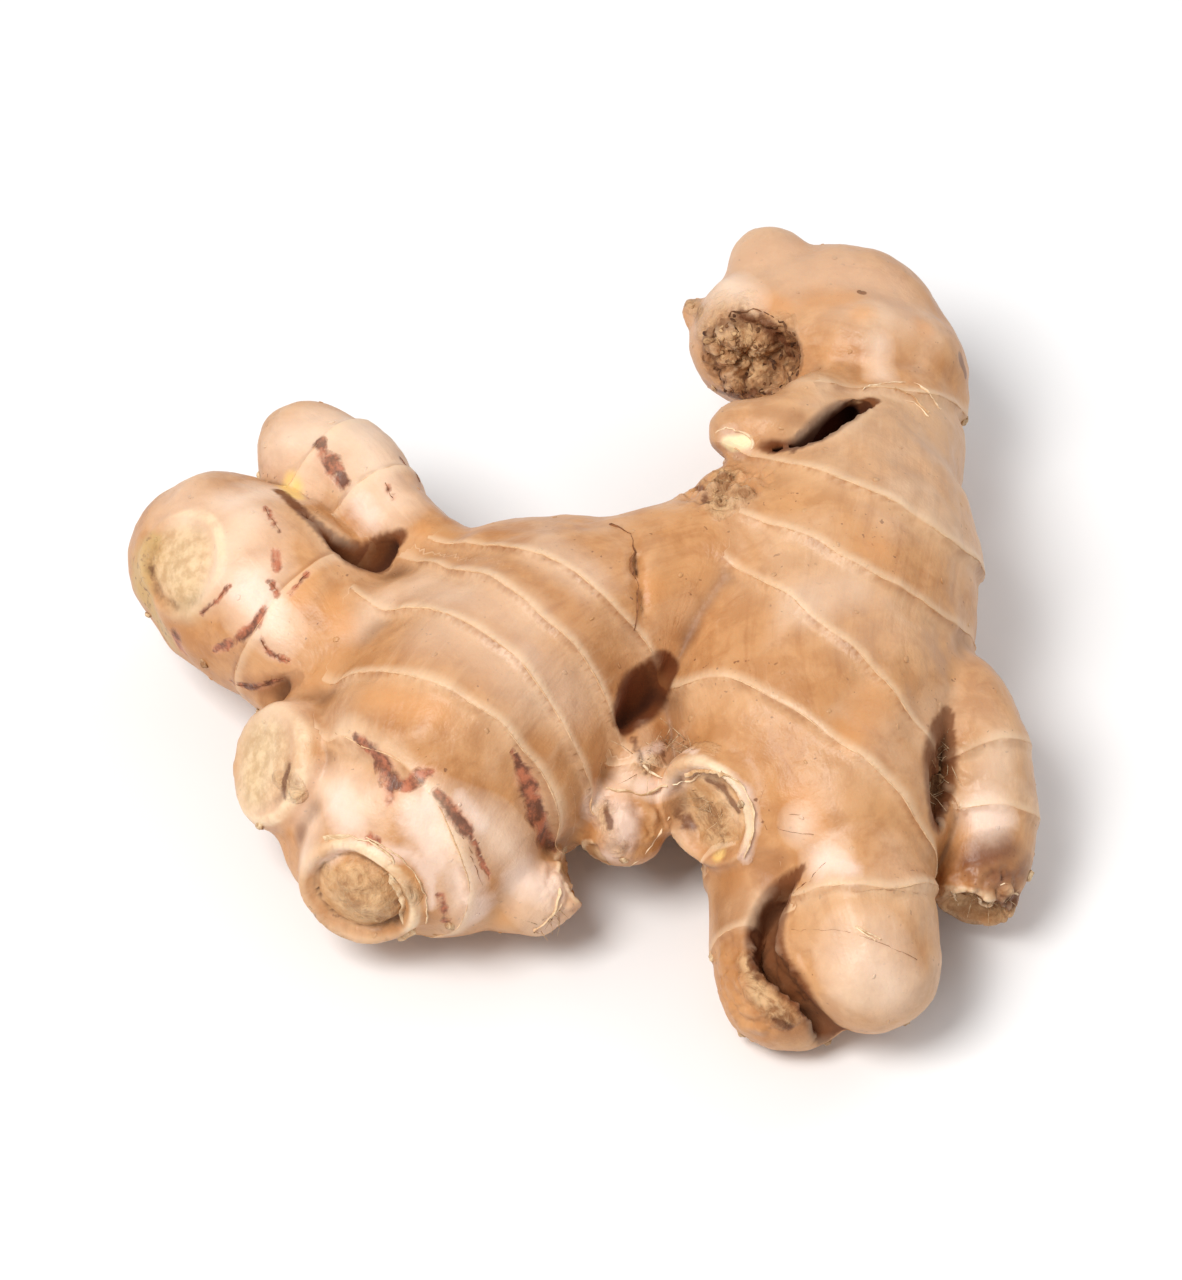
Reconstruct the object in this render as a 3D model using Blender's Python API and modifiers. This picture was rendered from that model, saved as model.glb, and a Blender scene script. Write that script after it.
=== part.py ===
"""Ginger root: a fresh rhizome grown as one piece.

The root lies on its flat side, X to the right, Y to the back and Z up. A thick trunk runs from the
head at the back to the foot at the front. A broad arm leaves it to the left and ends in short
fingers, some of them broken off flat. Sizes are in millimetres and are turned into metres by MM.
"""
import math

import bpy
import numpy as np
from mathutils import Vector, noise

MM = 0.001

# Grain of the solid while it is fused from its lobes, and how far the joins are softened
VOXEL = 1.0
SOFTEN_STEPS = 5
LOFT_STEP = 2.0
LOFT_SIDES = 40
FACE_LIMIT = 9600

# Height of the resting plane in the frame of the lobes
REST_Z = 1.6

# Each station of a lobe: x, y, z of the middle, half width, half height
TRUNK = [
    (41.5, 48.0, 21.0, 11.5, 13.0),
    (40.5, 36.5, 21.0, 13.2, 14.0),
    (36.5, 26.0, 22.0, 17.0, 18.0),
    (35.0, 14.0, 22.5, 20.0, 19.5),
    (33.0, 1.5, 22.5, 20.8, 20.0),
    (30.5, -14.0, 21.5, 20.0, 19.0),
    (32.5, -26.5, 19.0, 17.0, 16.5),
]
HEAD = [
    (43.5, 50.0, 21.0, 12.2, 13.5),
    (39.5, 56.0, 22.5, 12.6, 13.4),
    (32.0, 57.5, 23.5, 11.8, 12.2),
    (26.2, 56.0, 23.5, 11.4, 12.0),
]
HEAD_HEEL = [
    (37.0, 38.0, 14.0, 12.0, 12.5),
    (39.0, 50.0, 12.5, 11.5, 12.0),
]
HEAD_CHEEK = [
    (34.0, 50.5, 25.5, 10.0, 11.0),
    (40.0, 48.5, 26.5, 10.5, 11.8),
    (45.0, 49.0, 25.5, 9.0, 10.0),
]
HEAD_KNOB = [
    (34.7, 37.6, 31.0, 4.6, 4.6),
    (31.4, 31.8, 34.8, 4.9, 4.7),
    (28.2, 27.4, 36.8, 5.0, 4.8),
    (24.4, 26.0, 37.4, 4.8, 4.6),
    (20.4, 27.0, 36.2, 4.5, 4.3),
]
HEAD_PEAK = [
    (28.0, 58.0, 24.0, 9.0, 9.5),
    (25.8, 64.6, 29.0, 6.4, 6.6),
]
HEAD_TIP = [
    (20.0, 58.0, 24.0, 5.0, 5.0),
    (15.3, 60.6, 24.6, 2.6, 2.4),
]
DRY_LUMP = [
    (26.0, 14.0, 29.0, 7.0, 7.0),
    (20.2, 17.5, 31.0, 5.6, 5.8),
]
ARM_BACK = [
    (-2.0, 4.0, 22.5, 13.5, 16.5),
    (-13.0, 1.2, 22.0, 14.5, 16.5),
    (-23.0, -4.0, 21.5, 13.0, 14.5),
]
FOOT = [
    (34.0, -21.0, 20.0, 16.0, 15.5),
    (35.6, -34.0, 18.5, 11.4, 12.0),
    (36.2, -41.5, 17.5, 10.4, 10.8),
    (37.0, -47.5, 16.6, 10.6, 11.0),
    (37.8, -51.0, 15.6, 9.7, 10.2),
]
FOOT_BACK = [
    (30.0, -23.0, 17.0, 14.5, 14.5),
    (26.5, -37.0, 12.0, 10.4, 11.0),
    (27.0, -49.5, 9.8, 9.8, 9.8),
]
KNOB = [
    (44.5, -6.5, 19.0, 11.0, 12.0),
    (51.0, -15.5, 17.5, 9.6, 10.5),
    (54.4, -25.0, 15.0, 7.8, 8.5),
    (54.0, -32.5, 12.8, 6.8, 7.2),
    (52.8, -37.6, 11.4, 5.8, 6.2),
]
ARM = [
    (25.0, 8.5, 22.5, 14.5, 18.0),
    (9.0, 3.5, 23.5, 14.3, 17.0),
    (-7.5, -6.5, 23.0, 19.0, 19.0),
    (-18.5, -21.0, 21.0, 20.0, 20.0),
    (-22.0, -29.0, 19.0, 16.5, 16.0),
]
ARM_SIDE = [
    (-28.0, -22.0, 15.0, 11.0, 11.0),
    (-34.4, -30.0, 14.5, 8.6, 8.6),
]
UPPER_FINGER = [
    (-16.5, 3.0, 24.0, 10.5, 12.0),
    (-27.2, 15.2, 25.5, 7.0, 9.4),
    (-34.2, 25.0, 26.0, 8.2, 9.2),
    (-40.6, 31.2, 26.0, 7.4, 7.8),
]
LEFT_FINGER = [
    (-29.5, -8.5, 20.5, 13.0, 13.0),
    (-41.5, 4.0, 22.0, 13.6, 13.6),
    (-49.2, 11.4, 22.0, 13.6, 13.8),
    (-53.2, 15.4, 22.0, 12.4, 12.6),
]
LEFT_SCAR = [
    (-46.5, 8.5, 20.0, 11.0, 11.0),
    (-52.0, 9.0, 24.5, 9.8, 10.2),
    (-55.0, 8.0, 27.7, 8.2, 9.0),
]
CUT_FINGER = [
    (-30.5, -18.0, 14.5, 12.0, 12.0),
    (-37.5, -21.0, 19.0, 10.4, 10.2),
    (-42.6, -23.0, 22.6, 9.2, 9.0),
]
TIP_STUB = [
    (-27.0, -25.5, 15.0, 13.0, 13.0),
    (-29.6, -34.0, 16.6, 10.8, 10.6),
    (-30.8, -39.2, 17.8, 9.6, 9.2),
]
NUB = [
    (-17.0, -27.0, 16.0, 11.5, 11.5),
    (-10.8, -34.8, 13.8, 7.8, 8.0),
    (-6.8, -36.8, 13.2, 6.2, 6.4),
    (-3.6, -36.4, 14.2, 4.4, 4.2),
]
STUB_LEFT = [
    (5.0, -7.5, 20.0, 8.0, 9.0),
    (5.0, -22.5, 18.5, 7.0, 7.5),
    (4.5, -30.0, 17.5, 6.0, 6.0),
]
STUB_RIGHT = [
    (27.0, -17.0, 19.0, 10.0, 10.0),
    (21.5, -26.5, 22.0, 9.4, 9.4),
    (17.0, -31.5, 24.0, 8.6, 8.6),
]

LOBES = [
    ("trunk", TRUNK, "round", "round"),
    ("head", HEAD, "round", "round"),
    ("head_heel", HEAD_HEEL, "round", "round"),
    ("head_cheek", HEAD_CHEEK, "round", "round"),
    ("head_peak", HEAD_PEAK, "round", "round"),
    ("head_tip", HEAD_TIP, "round", "round"),
    ("head_knob", HEAD_KNOB, "round", "round"),
    ("dry_lump", DRY_LUMP, "round", "round"),
    ("foot", FOOT, "round", "round"),
    ("foot_back", FOOT_BACK, "round", "round"),
    ("knob", KNOB, "round", "flat"),
    ("arm", ARM, "round", "round"),
    ("arm_back", ARM_BACK, "round", "round"),
    ("arm_side", ARM_SIDE, "round", "round"),
    ("upper_finger", UPPER_FINGER, "round", "round"),
    ("left_finger", LEFT_FINGER, "round", "round"),
    ("left_scar", LEFT_SCAR, "round", "flat"),
    ("cut_finger", CUT_FINGER, "round", "flat"),
    ("tip_stub", TIP_STUB, "round", "flat"),
    ("nub", NUB, "round", "flat"),
    ("stub_left", STUB_LEFT, "round", "round"),
    ("stub_right", STUB_RIGHT, "round", "flat"),
]

# Hollows cut into the fused lobes, with the same kind of stations: the old scar on the head, the
# crevice that runs in under the head, the crack between arm and trunk and the gap below it, the
# crease round the foot, the slit beside the knob, and the creases at the roots of the fingers
HEAD_SCAR = [
    (17.8, 46.3, 28.5, 4.6, 4.8),
    (22.0, 45.6, 29.5, 5.8, 6.0),
    (26.6, 46.0, 31.0, 3.4, 3.8),
]
HEAD_CREVICE = [
    (21.0, 24.0, 31.5, 0.7, 2.5),
    (25.0, 21.4, 34.8, 0.9, 3.2),
    (29.4, 20.8, 36.8, 1.2, 4.0),
    (33.2, 23.8, 37.8, 2.0, 5.0),
    (36.6, 28.2, 37.6, 1.6, 4.2),
    (39.4, 31.2, 36.8, 0.7, 2.4),
]
HEAD_UNDERCUT = [
    (30.4, 24.4, 31.8, 1.1, 2.8),
    (33.4, 27.2, 32.8, 1.7, 3.8),
    (36.6, 31.4, 32.6, 1.2, 3.2),
]
ARM_CRACK = [
    (2.6, 6.6, 38.6, 0.6, 1.4),
    (5.4, 4.0, 39.6, 0.8, 1.8),
    (6.0, -0.5, 40.2, 0.9, 2.2),
    (7.0, -6.0, 39.0, 0.8, 2.2),
    (6.8, -11.0, 36.5, 0.7, 2.0),
]
ARM_GAP = [
    (4.2, -19.4, 28.6, 1.5, 3.0),
    (6.8, -16.2, 29.4, 2.0, 4.6),
    (10.0, -12.6, 31.2, 1.2, 2.6),
]
FOOT_CREASE = [
    (29.3, -42.8, 24.0, 0.6, 1.6),
    (25.6, -44.4, 21.0, 1.5, 4.0),
    (23.6, -48.4, 18.6, 1.9, 4.8),
    (24.2, -52.6, 15.6, 1.8, 4.6),
    (28.0, -56.2, 12.0, 1.5, 3.8),
    (32.4, -58.0, 8.6, 1.0, 2.6),
]
KNOB_SLIT = [
    (48.8, -19.0, 28.6, 0.5, 1.8),
    (48.0, -22.5, 27.8, 1.4, 4.5),
    (47.2, -28.0, 26.0, 2.0, 5.5),
    (46.6, -33.0, 23.6, 1.0, 3.2),
]
FINGER_CREASE = [
    (-43.6, 17.8, 31.2, 0.6, 2.0),
    (-40.6, 13.4, 32.2, 0.8, 2.6),
    (-37.0, 9.4, 33.2, 0.9, 3.2),
    (-32.5, 7.2, 31.8, 2.6, 5.6),
    (-27.0, 9.2, 31.8, 0.9, 2.4),
]
LEFT_CREASE = [
    (-48.0, -10.5, 21.0, 0.8, 2.0),
    (-44.0, -11.5, 25.0, 0.9, 2.1),
    (-40.5, -12.0, 28.4, 0.6, 1.3),
]
HOLLOWS = [
    ("head_scar", HEAD_SCAR),
    ("head_crevice", HEAD_CREVICE),
    ("head_undercut", HEAD_UNDERCUT),
    ("arm_crack", ARM_CRACK),
    ("arm_gap", ARM_GAP),
    ("foot_crease", FOOT_CREASE),
    ("knob_slit", KNOB_SLIT),
    ("finger_crease", FINGER_CREASE),
    ("left_crease", LEFT_CREASE),
]

# Edges of the old leaf sheaths, each given by three points that its plane passes through
SHEATH_EDGES = [
    ("trunk", (38.5, 34.2, 36.5), (45.6, 35.8, 34.5), (51.8, 39.6, 28.0)),
    ("trunk", (24.8, 17.5, 41.0), (38.2, 9.2, 42.0), (51.0, 7.5, 32.2)),
    ("trunk", (24.8, 4.3, 40.9), (37.0, -3.2, 41.6), (52.3, -3.2, 27.1)),
    ("trunk", (20.4, -1.8, 38.7), (35.6, -16.5, 39.6), (43.5, -23.3, 32.8)),
    ("trunk", (13.2, -15.2, 30.7), (28.6, -25.9, 36.9), (42.4, -35.4, 28.9)),
    ("foot", (28.3, -45.4, 22.9), (36.2, -47.7, 27.2), (45.3, -44.7, 23.3)),
    ("arm", (-7.3, -2.0, 39.8), (1.1, -7.4, 39.8), (1.1, -7.4, 29.8)),
    ("arm", (-26.5, 6.6, 30.3), (-11.2, -8.1, 41.8), (0.0, -18.8, 36.0)),
    ("arm", (-31.5, -2.5, 34.0), (-17.9, -13.1, 41.0), (-3.3, -26.2, 33.8)),
    ("arm", (-35.7, -14.3, 30.5), (-19.7, -24.2, 39.5), (-4.9, -33.2, 19.0)),
    ("arm", (-39.6, -21.2, 27.8), (-22.5, -34.6, 34.9), (-15.8, -44.1, 23.4)),
]
# Lobes that carry on the rings of another
SAME_SKIN = {"arm": ("arm", "arm_back", "arm_side"), "trunk": ("trunk", "dry_lump", "head_cheek")}
# Edges square to a lobe, by their distance along it, and how strong they are
COLLARS = [
    ("left_finger", 15.0, 0.6), ("left_finger", 25.0, 0.4), ("left_finger", 32.0, 0.3),
    ("upper_finger", 22.0, 0.6), ("upper_finger", 32.0, 0.6),
    ("stub_left", 17.0, 0.6), ("knob", 16.0, 0.5), ("knob", 24.0, 0.5),
    ("foot_back", 14.0, 0.6), ("foot_back", 24.0, 0.5),
]
EDGE_RISE = 0.70
EDGE_REACH = 3.5
EDGE_DROP = 0.9
# Scars where fingers broke off: how deep the face lies, how high its rim stands, and how far the
# core in the middle rises again
SCARS = [
    ("left_scar", 0.5, 0.4, 0.7),
    ("cut_finger", 0.3, 0.2, 0.6),
    ("tip_stub", 1.6, 0.9, 3.4),
    ("stub_right", 2.0, 0.7, 0.0),
    ("knob", 1.4, 0.5, 0.2),
    ("nub", 0.6, 0.4, 0.3),
]
# Lump of healed tissue in the old scar on the head: middle, reach and height
HEALED = ((21.5, 48.8, 28.2), 5.2, 3.4)
# Lumps of the surface: size of the grain in millimetres and how far it moves the skin
LUMPS = [(19.0, 0.9), (8.0, 0.35)]
ROUGH = {"head": 1.5, "head_heel": 1.2, "nub": 1.6, "stub_left": 1.2}


def spline(stations, step):
    """Smooth curve through the stations, sampled about every step millimetres."""
    pts = np.array(stations, float)
    ends = np.vstack([2 * pts[0] - pts[1], pts, 2 * pts[-1] - pts[-2]])
    out = []
    for i in range(1, len(ends) - 2):
        a, b, c, d = ends[i - 1], ends[i], ends[i + 1], ends[i + 2]
        count = max(2, int(round(np.linalg.norm((c - b)[:3]) / step)))
        for k in range(count):
            t = k / count
            out.append(0.5 * (2 * b + (c - a) * t + (2 * a - 5 * b + 4 * c - d) * t ** 2
                              + (3 * b - a - 3 * c + d) * t ** 3))
    out.append(pts[-1])
    return np.array(out)


def frames(middle):
    """Direction, side and upper vectors along a curve, the side kept level."""
    along = np.gradient(middle, axis=0)
    along /= np.linalg.norm(along, axis=1)[:, None]
    side = np.cross(along, (0.0, 0.0, 1.0))
    side /= np.linalg.norm(side, axis=1)[:, None]
    return along, side, np.cross(side, along)


def end_rings(kind):
    """Pairs of reach and girth, as parts of the radius, that close one end of a lobe."""
    if kind == "flat":
        return [(0.10, 0.985), (0.19, 0.93), (0.25, 0.84), (0.27, 0.72), (0.25, 0.5), (0.23, 0.25)]
    turns = [15, 30, 45, 58, 70, 80]
    return [(math.sin(math.radians(a)), math.cos(math.radians(a))) for a in turns]


def loft(stations, start, end):
    """Closed tube of rings round the curve: points and faces."""
    line = spline(stations, LOFT_STEP)
    middle, wide, high = line[:, :3], line[:, 3], line[:, 4]
    along, side, upper = frames(middle)
    rings = []
    for reach, girth in reversed(end_rings(start)):
        radius = 0.5 * (wide[0] + high[0])
        rings.append((middle[0] - along[0] * reach * radius, side[0], upper[0],
                      wide[0] * girth, high[0] * girth))
    for i in range(len(middle)):
        rings.append((middle[i], side[i], upper[i], wide[i], high[i]))
    for reach, girth in end_rings(end):
        radius = 0.5 * (wide[-1] + high[-1])
        rings.append((middle[-1] + along[-1] * reach * radius, side[-1], upper[-1],
                      wide[-1] * girth, high[-1] * girth))
    turn = np.linspace(0.0, 2 * math.pi, LOFT_SIDES, endpoint=False)
    points = []
    for centre, across, up, w, h in rings:
        points += [tuple(centre + across * w * math.cos(t) + up * h * math.sin(t)) for t in turn]
    faces = []
    for r in range(len(rings) - 1):
        for k in range(LOFT_SIDES):
            n = (k + 1) % LOFT_SIDES
            a, b = r * LOFT_SIDES, (r + 1) * LOFT_SIDES
            faces.append((a + k, b + k, b + n, a + n))
    faces.append(tuple(range(LOFT_SIDES)))
    last = (len(rings) - 1) * LOFT_SIDES
    faces.append(tuple(last + k for k in reversed(range(LOFT_SIDES))))
    return points, faces


def add_mesh(name, lofts):
    """One object that holds the closed tubes given."""
    points, faces = [], []
    for more_points, more_faces in lofts:
        shift = len(points)
        points += more_points
        faces += [tuple(i + shift for i in face) for face in more_faces]
    mesh = bpy.data.meshes.new(name)
    mesh.from_pydata(points, [], faces)
    mesh.update()
    return bpy.data.objects.new(name, mesh)


def fused_mesh(voxel, steps):
    """All lobes fused into one closed solid, hollowed and softened, in millimetres."""
    scene = bpy.context.scene.collection
    lump = add_mesh("lobes", [loft(s, a, b) for _n, s, a, b in LOBES])
    hollow = add_mesh("hollows", [loft(s, "round", "round") for _n, s in HOLLOWS])
    scene.objects.link(lump)
    scene.objects.link(hollow)
    fuse = lump.modifiers.new("fuse", "REMESH")
    fuse.mode = "VOXEL"
    fuse.voxel_size = voxel
    join = hollow.modifiers.new("join", "REMESH")
    join.mode = "VOXEL"
    join.voxel_size = 0.5 * voxel
    carve = lump.modifiers.new("carve", "BOOLEAN")
    carve.operation = "DIFFERENCE"
    carve.solver = "EXACT"
    carve.object = hollow
    even = lump.modifiers.new("even", "REMESH")
    even.mode = "VOXEL"
    even.voxel_size = voxel
    soften = lump.modifiers.new("soften", "SMOOTH")
    soften.factor = 0.5
    soften.iterations = steps
    graph = bpy.context.evaluated_depsgraph_get()
    result = bpy.data.meshes.new_from_object(lump.evaluated_get(graph))
    for old in (lump, hollow):
        bpy.data.objects.remove(old, do_unlink=True)
    return result


def lobe_places(points):
    """For each lobe: nearness of every point to its skin, distance along it, and its own turn."""
    found = {}
    for name, stations, _start, _end in LOBES:
        line = spline(stations, LOFT_STEP)
        middle, wide, high = line[:, :3], line[:, 3], line[:, 4]
        along, side, upper = frames(middle)
        steps = np.linalg.norm(np.diff(middle, axis=0), axis=1)
        run = np.concatenate([[0.0], np.cumsum(steps)])
        gap = ((points[:, None, :] - middle[None, :, :]) ** 2).sum(axis=2)
        near = gap.argmin(axis=1)
        off = points - middle[near]
        ahead = (off * along[near]).sum(axis=1)
        a = (off * side[near]).sum(axis=1)
        b = (off * upper[near]).sum(axis=1)
        girth = np.sqrt((a / wide[near]) ** 2 + (b / high[near]) ** 2)
        radius = 0.5 * (wide[near] + high[near])
        past = np.clip(np.abs(ahead) - LOFT_STEP, 0.0, None)
        true = np.sqrt(girth ** 2 + (past / radius) ** 2)
        skin = np.exp(-((true - 1.0) * radius / 2.2) ** 2)
        found[name] = {
            "skin": skin, "run": run[near] + ahead, "across": a, "above": b,
            "ahead": (points - middle[-1]) @ along[-1], "last": along[-1],
            "radial": np.linalg.norm(
                (points - middle[-1]) - ((points - middle[-1]) @ along[-1])[:, None] * along[-1],
                axis=1) / (0.5 * (wide[-1] + high[-1])),
        }
    total = sum(f["skin"] for f in found.values()) + 1e-6
    for f in found.values():
        f["share"] = f["skin"] / total
    return found


def grain(points, size, seed):
    """Soft noise between about -1 and 1 with lumps of the given size."""
    shift = Vector((seed * 17.3, seed * 5.1, seed * 9.7))
    return np.array([noise.noise(Vector(p) / size + shift) for p in points]) * 1.6


def edge_step(ahead):
    """Height across a sheath edge: the skin swells up to it, drops, and evens out again."""
    before = np.exp(np.minimum(ahead, 0.0) / EDGE_REACH)
    after = -0.6 * np.exp(-np.maximum(ahead, 0.0) / EDGE_REACH)
    blend = np.exp(-(np.maximum(ahead, 0.0) / EDGE_DROP) ** 2)
    return np.where(ahead < 0.0, before, after + 1.6 * blend)


def relief(points):
    """How far the skin moves outward at each point, in millimetres."""
    places = lobe_places(points)
    wave = grain(points, 7.0, 3)
    move = np.zeros(len(points))
    for name, p, q, r in SHEATH_EDGES:
        p, q, r = (np.array(v) for v in (p, q, r))
        square = np.cross(q - p, r - p)
        square /= np.linalg.norm(square)
        if square[1] > 0:
            square = -square
        ahead = (points - q) @ square + 0.5 * wave
        share = sum(places[n]["share"] for n in SAME_SKIN.get(name, (name,)))
        move += EDGE_RISE * edge_step(ahead) * np.clip(share * 1.3, 0.0, 1.0)
    for name, distance, strength in COLLARS:
        ahead = places[name]["run"] - distance + 0.5 * wave
        share = places[name]["share"]
        move += strength * EDGE_RISE * edge_step(ahead) * np.clip(share * 1.3, 0.0, 1.0)
    for name, deep, rim, core in SCARS:
        place = places[name]
        face = np.clip((place["ahead"] + 1.0) / 1.5, 0.0, 1.0) * (place["ahead"] < 6.0)
        face = face * (place["radial"] < 1.15)
        dish = 1.0 / (1.0 + np.exp((place["radial"] - 0.72) / 0.05))
        ridge = np.exp(-((place["radial"] - 0.84) / 0.09) ** 2)
        dome = np.clip(1.0 - (place["radial"] / 0.66) ** 2, 0.0, 1.0) ** 0.7
        move += face * (rim * ridge - deep * dish + core * dome)
    middle, reach, height = HEALED
    gap = np.linalg.norm(points - np.array(middle), axis=1) / reach
    move += height * np.clip(1.0 - gap ** 2, 0.0, 1.0)
    extra = 1.0 + sum(places[n]["share"] * (k - 1.0) for n, k in ROUGH.items())
    for i, (size, reach) in enumerate(LUMPS):
        move += reach * extra * grain(points, size, i)
    return move


def mesh_points(mesh):
    flat = np.empty(len(mesh.vertices) * 3)
    mesh.vertices.foreach_get("co", flat)
    return flat.reshape(-1, 3)


def mesh_normals(mesh):
    flat = np.empty(len(mesh.vertices) * 3)
    mesh.vertex_normals.foreach_get("vector", flat)
    return flat.reshape(-1, 3)


def principled(name, colour, roughness):
    material = bpy.data.materials.new(name)
    material.use_nodes = True
    shader = material.node_tree.nodes["Principled BSDF"]
    shader.inputs["Base Color"].default_value = (*colour, 1.0)
    shader.inputs["Roughness"].default_value = roughness
    return material


def collection(name):
    group = bpy.data.collections.new(name)
    bpy.context.scene.collection.children.link(group)
    return group


def box(name, low, high):
    """Plain box between two corners, in metres."""
    corners = [(x, y, z) for x in (low[0], high[0]) for y in (low[1], high[1])
               for z in (low[2], high[2])]
    faces = [(0, 1, 3, 2), (4, 6, 7, 5), (0, 4, 5, 1), (2, 3, 7, 6), (0, 2, 6, 4), (1, 5, 7, 3)]
    mesh = bpy.data.meshes.new(name)
    mesh.from_pydata(corners, [], faces)
    mesh.update()
    return bpy.data.objects.new(name, mesh)


def evaluated_points(item):
    graph = bpy.context.evaluated_depsgraph_get()
    mesh = bpy.data.meshes.new_from_object(item.evaluated_get(graph))
    points = mesh_points(mesh)
    bpy.data.meshes.remove(mesh)
    return points


def build():
    parts, cutters = collection("Ginger root"), collection("Cutters")
    mesh = fused_mesh(VOXEL, SOFTEN_STEPS)
    mesh.name = "ginger_root"
    points = mesh_points(mesh)
    points = points + mesh_normals(mesh) * relief(points)[:, None]
    points[:, 2] -= REST_Z
    mesh.vertices.foreach_set("co", (points * MM).ravel())
    mesh.update()
    root = bpy.data.objects.new("ginger_root", mesh)
    parts.objects.link(root)
    floor = box("floor_cutter", (-0.2, -0.2, -0.05), (0.2, 0.2, 0.0))
    floor.hide_render = True
    floor.display_type = "WIRE"
    cutters.objects.link(floor)
    mesh.materials.clear()
    mesh.materials.append(principled("ginger skin", (0.62, 0.41, 0.24), 0.55))

    faces = root.modifiers.new("triangles", "TRIANGULATE")
    faces.min_vertices = 4
    thin = root.modifiers.new("thin", "DECIMATE")
    thin.ratio = FACE_LIMIT / sum(len(p.vertices) - 2 for p in mesh.polygons)
    thin.use_collapse_triangulate = True
    rest = root.modifiers.new("rest", "BOOLEAN")
    rest.operation = "DIFFERENCE"
    rest.solver = "EXACT"
    rest.object = floor

    # The middle of the box stands over the origin
    low, high = evaluated_points(root).min(axis=0), evaluated_points(root).max(axis=0)
    middle = 0.5 * (low + high)
    points = mesh_points(mesh) - np.array([middle[0], middle[1], 0.0])
    mesh.vertices.foreach_set("co", points.ravel())
    mesh.update()
    return root


for old in list(bpy.data.objects):
    bpy.data.objects.remove(old, do_unlink=True)
build()
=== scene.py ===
"""Looks of the ginger root: skin with sheath edges, scars, stains and buds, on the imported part."""

import math

import bmesh
import bpy
import numpy as np
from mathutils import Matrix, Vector, noise
from mathutils.bvhtree import BVHTree


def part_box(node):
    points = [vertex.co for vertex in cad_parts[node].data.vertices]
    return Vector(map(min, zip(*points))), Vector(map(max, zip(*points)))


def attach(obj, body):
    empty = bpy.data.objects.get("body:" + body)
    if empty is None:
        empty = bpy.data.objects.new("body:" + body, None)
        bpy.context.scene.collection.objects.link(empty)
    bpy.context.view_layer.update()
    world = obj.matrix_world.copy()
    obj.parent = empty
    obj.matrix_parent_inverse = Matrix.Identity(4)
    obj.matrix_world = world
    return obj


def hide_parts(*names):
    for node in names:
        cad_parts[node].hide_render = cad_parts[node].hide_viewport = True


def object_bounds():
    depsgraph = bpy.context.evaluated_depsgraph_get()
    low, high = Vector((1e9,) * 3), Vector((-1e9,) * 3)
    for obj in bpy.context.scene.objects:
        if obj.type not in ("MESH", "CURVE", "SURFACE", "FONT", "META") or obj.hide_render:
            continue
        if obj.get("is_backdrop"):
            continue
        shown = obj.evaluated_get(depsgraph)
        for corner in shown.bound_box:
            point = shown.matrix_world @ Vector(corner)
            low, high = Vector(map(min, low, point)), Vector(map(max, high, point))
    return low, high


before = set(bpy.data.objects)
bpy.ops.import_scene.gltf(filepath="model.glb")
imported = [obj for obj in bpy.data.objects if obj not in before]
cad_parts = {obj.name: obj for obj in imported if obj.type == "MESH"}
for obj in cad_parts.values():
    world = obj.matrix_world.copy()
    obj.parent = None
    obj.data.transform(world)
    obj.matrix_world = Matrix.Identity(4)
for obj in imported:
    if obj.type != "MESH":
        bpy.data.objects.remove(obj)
CAD_LOW, CAD_HIGH = (tuple(corner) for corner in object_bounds())

MM = 0.001

# Grain of the skin while it is fused from its lobes, and how far the joins are softened
VOXEL = 0.78
SOFTEN_STEPS = 8
# Distance between the rings of a lobe, and the points of each ring
LOFT_STEP = 2.0
LOFT_SIDES = 40
# How far the fused root sinks to rest on flat spots
REST_Z = 1.6

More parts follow.
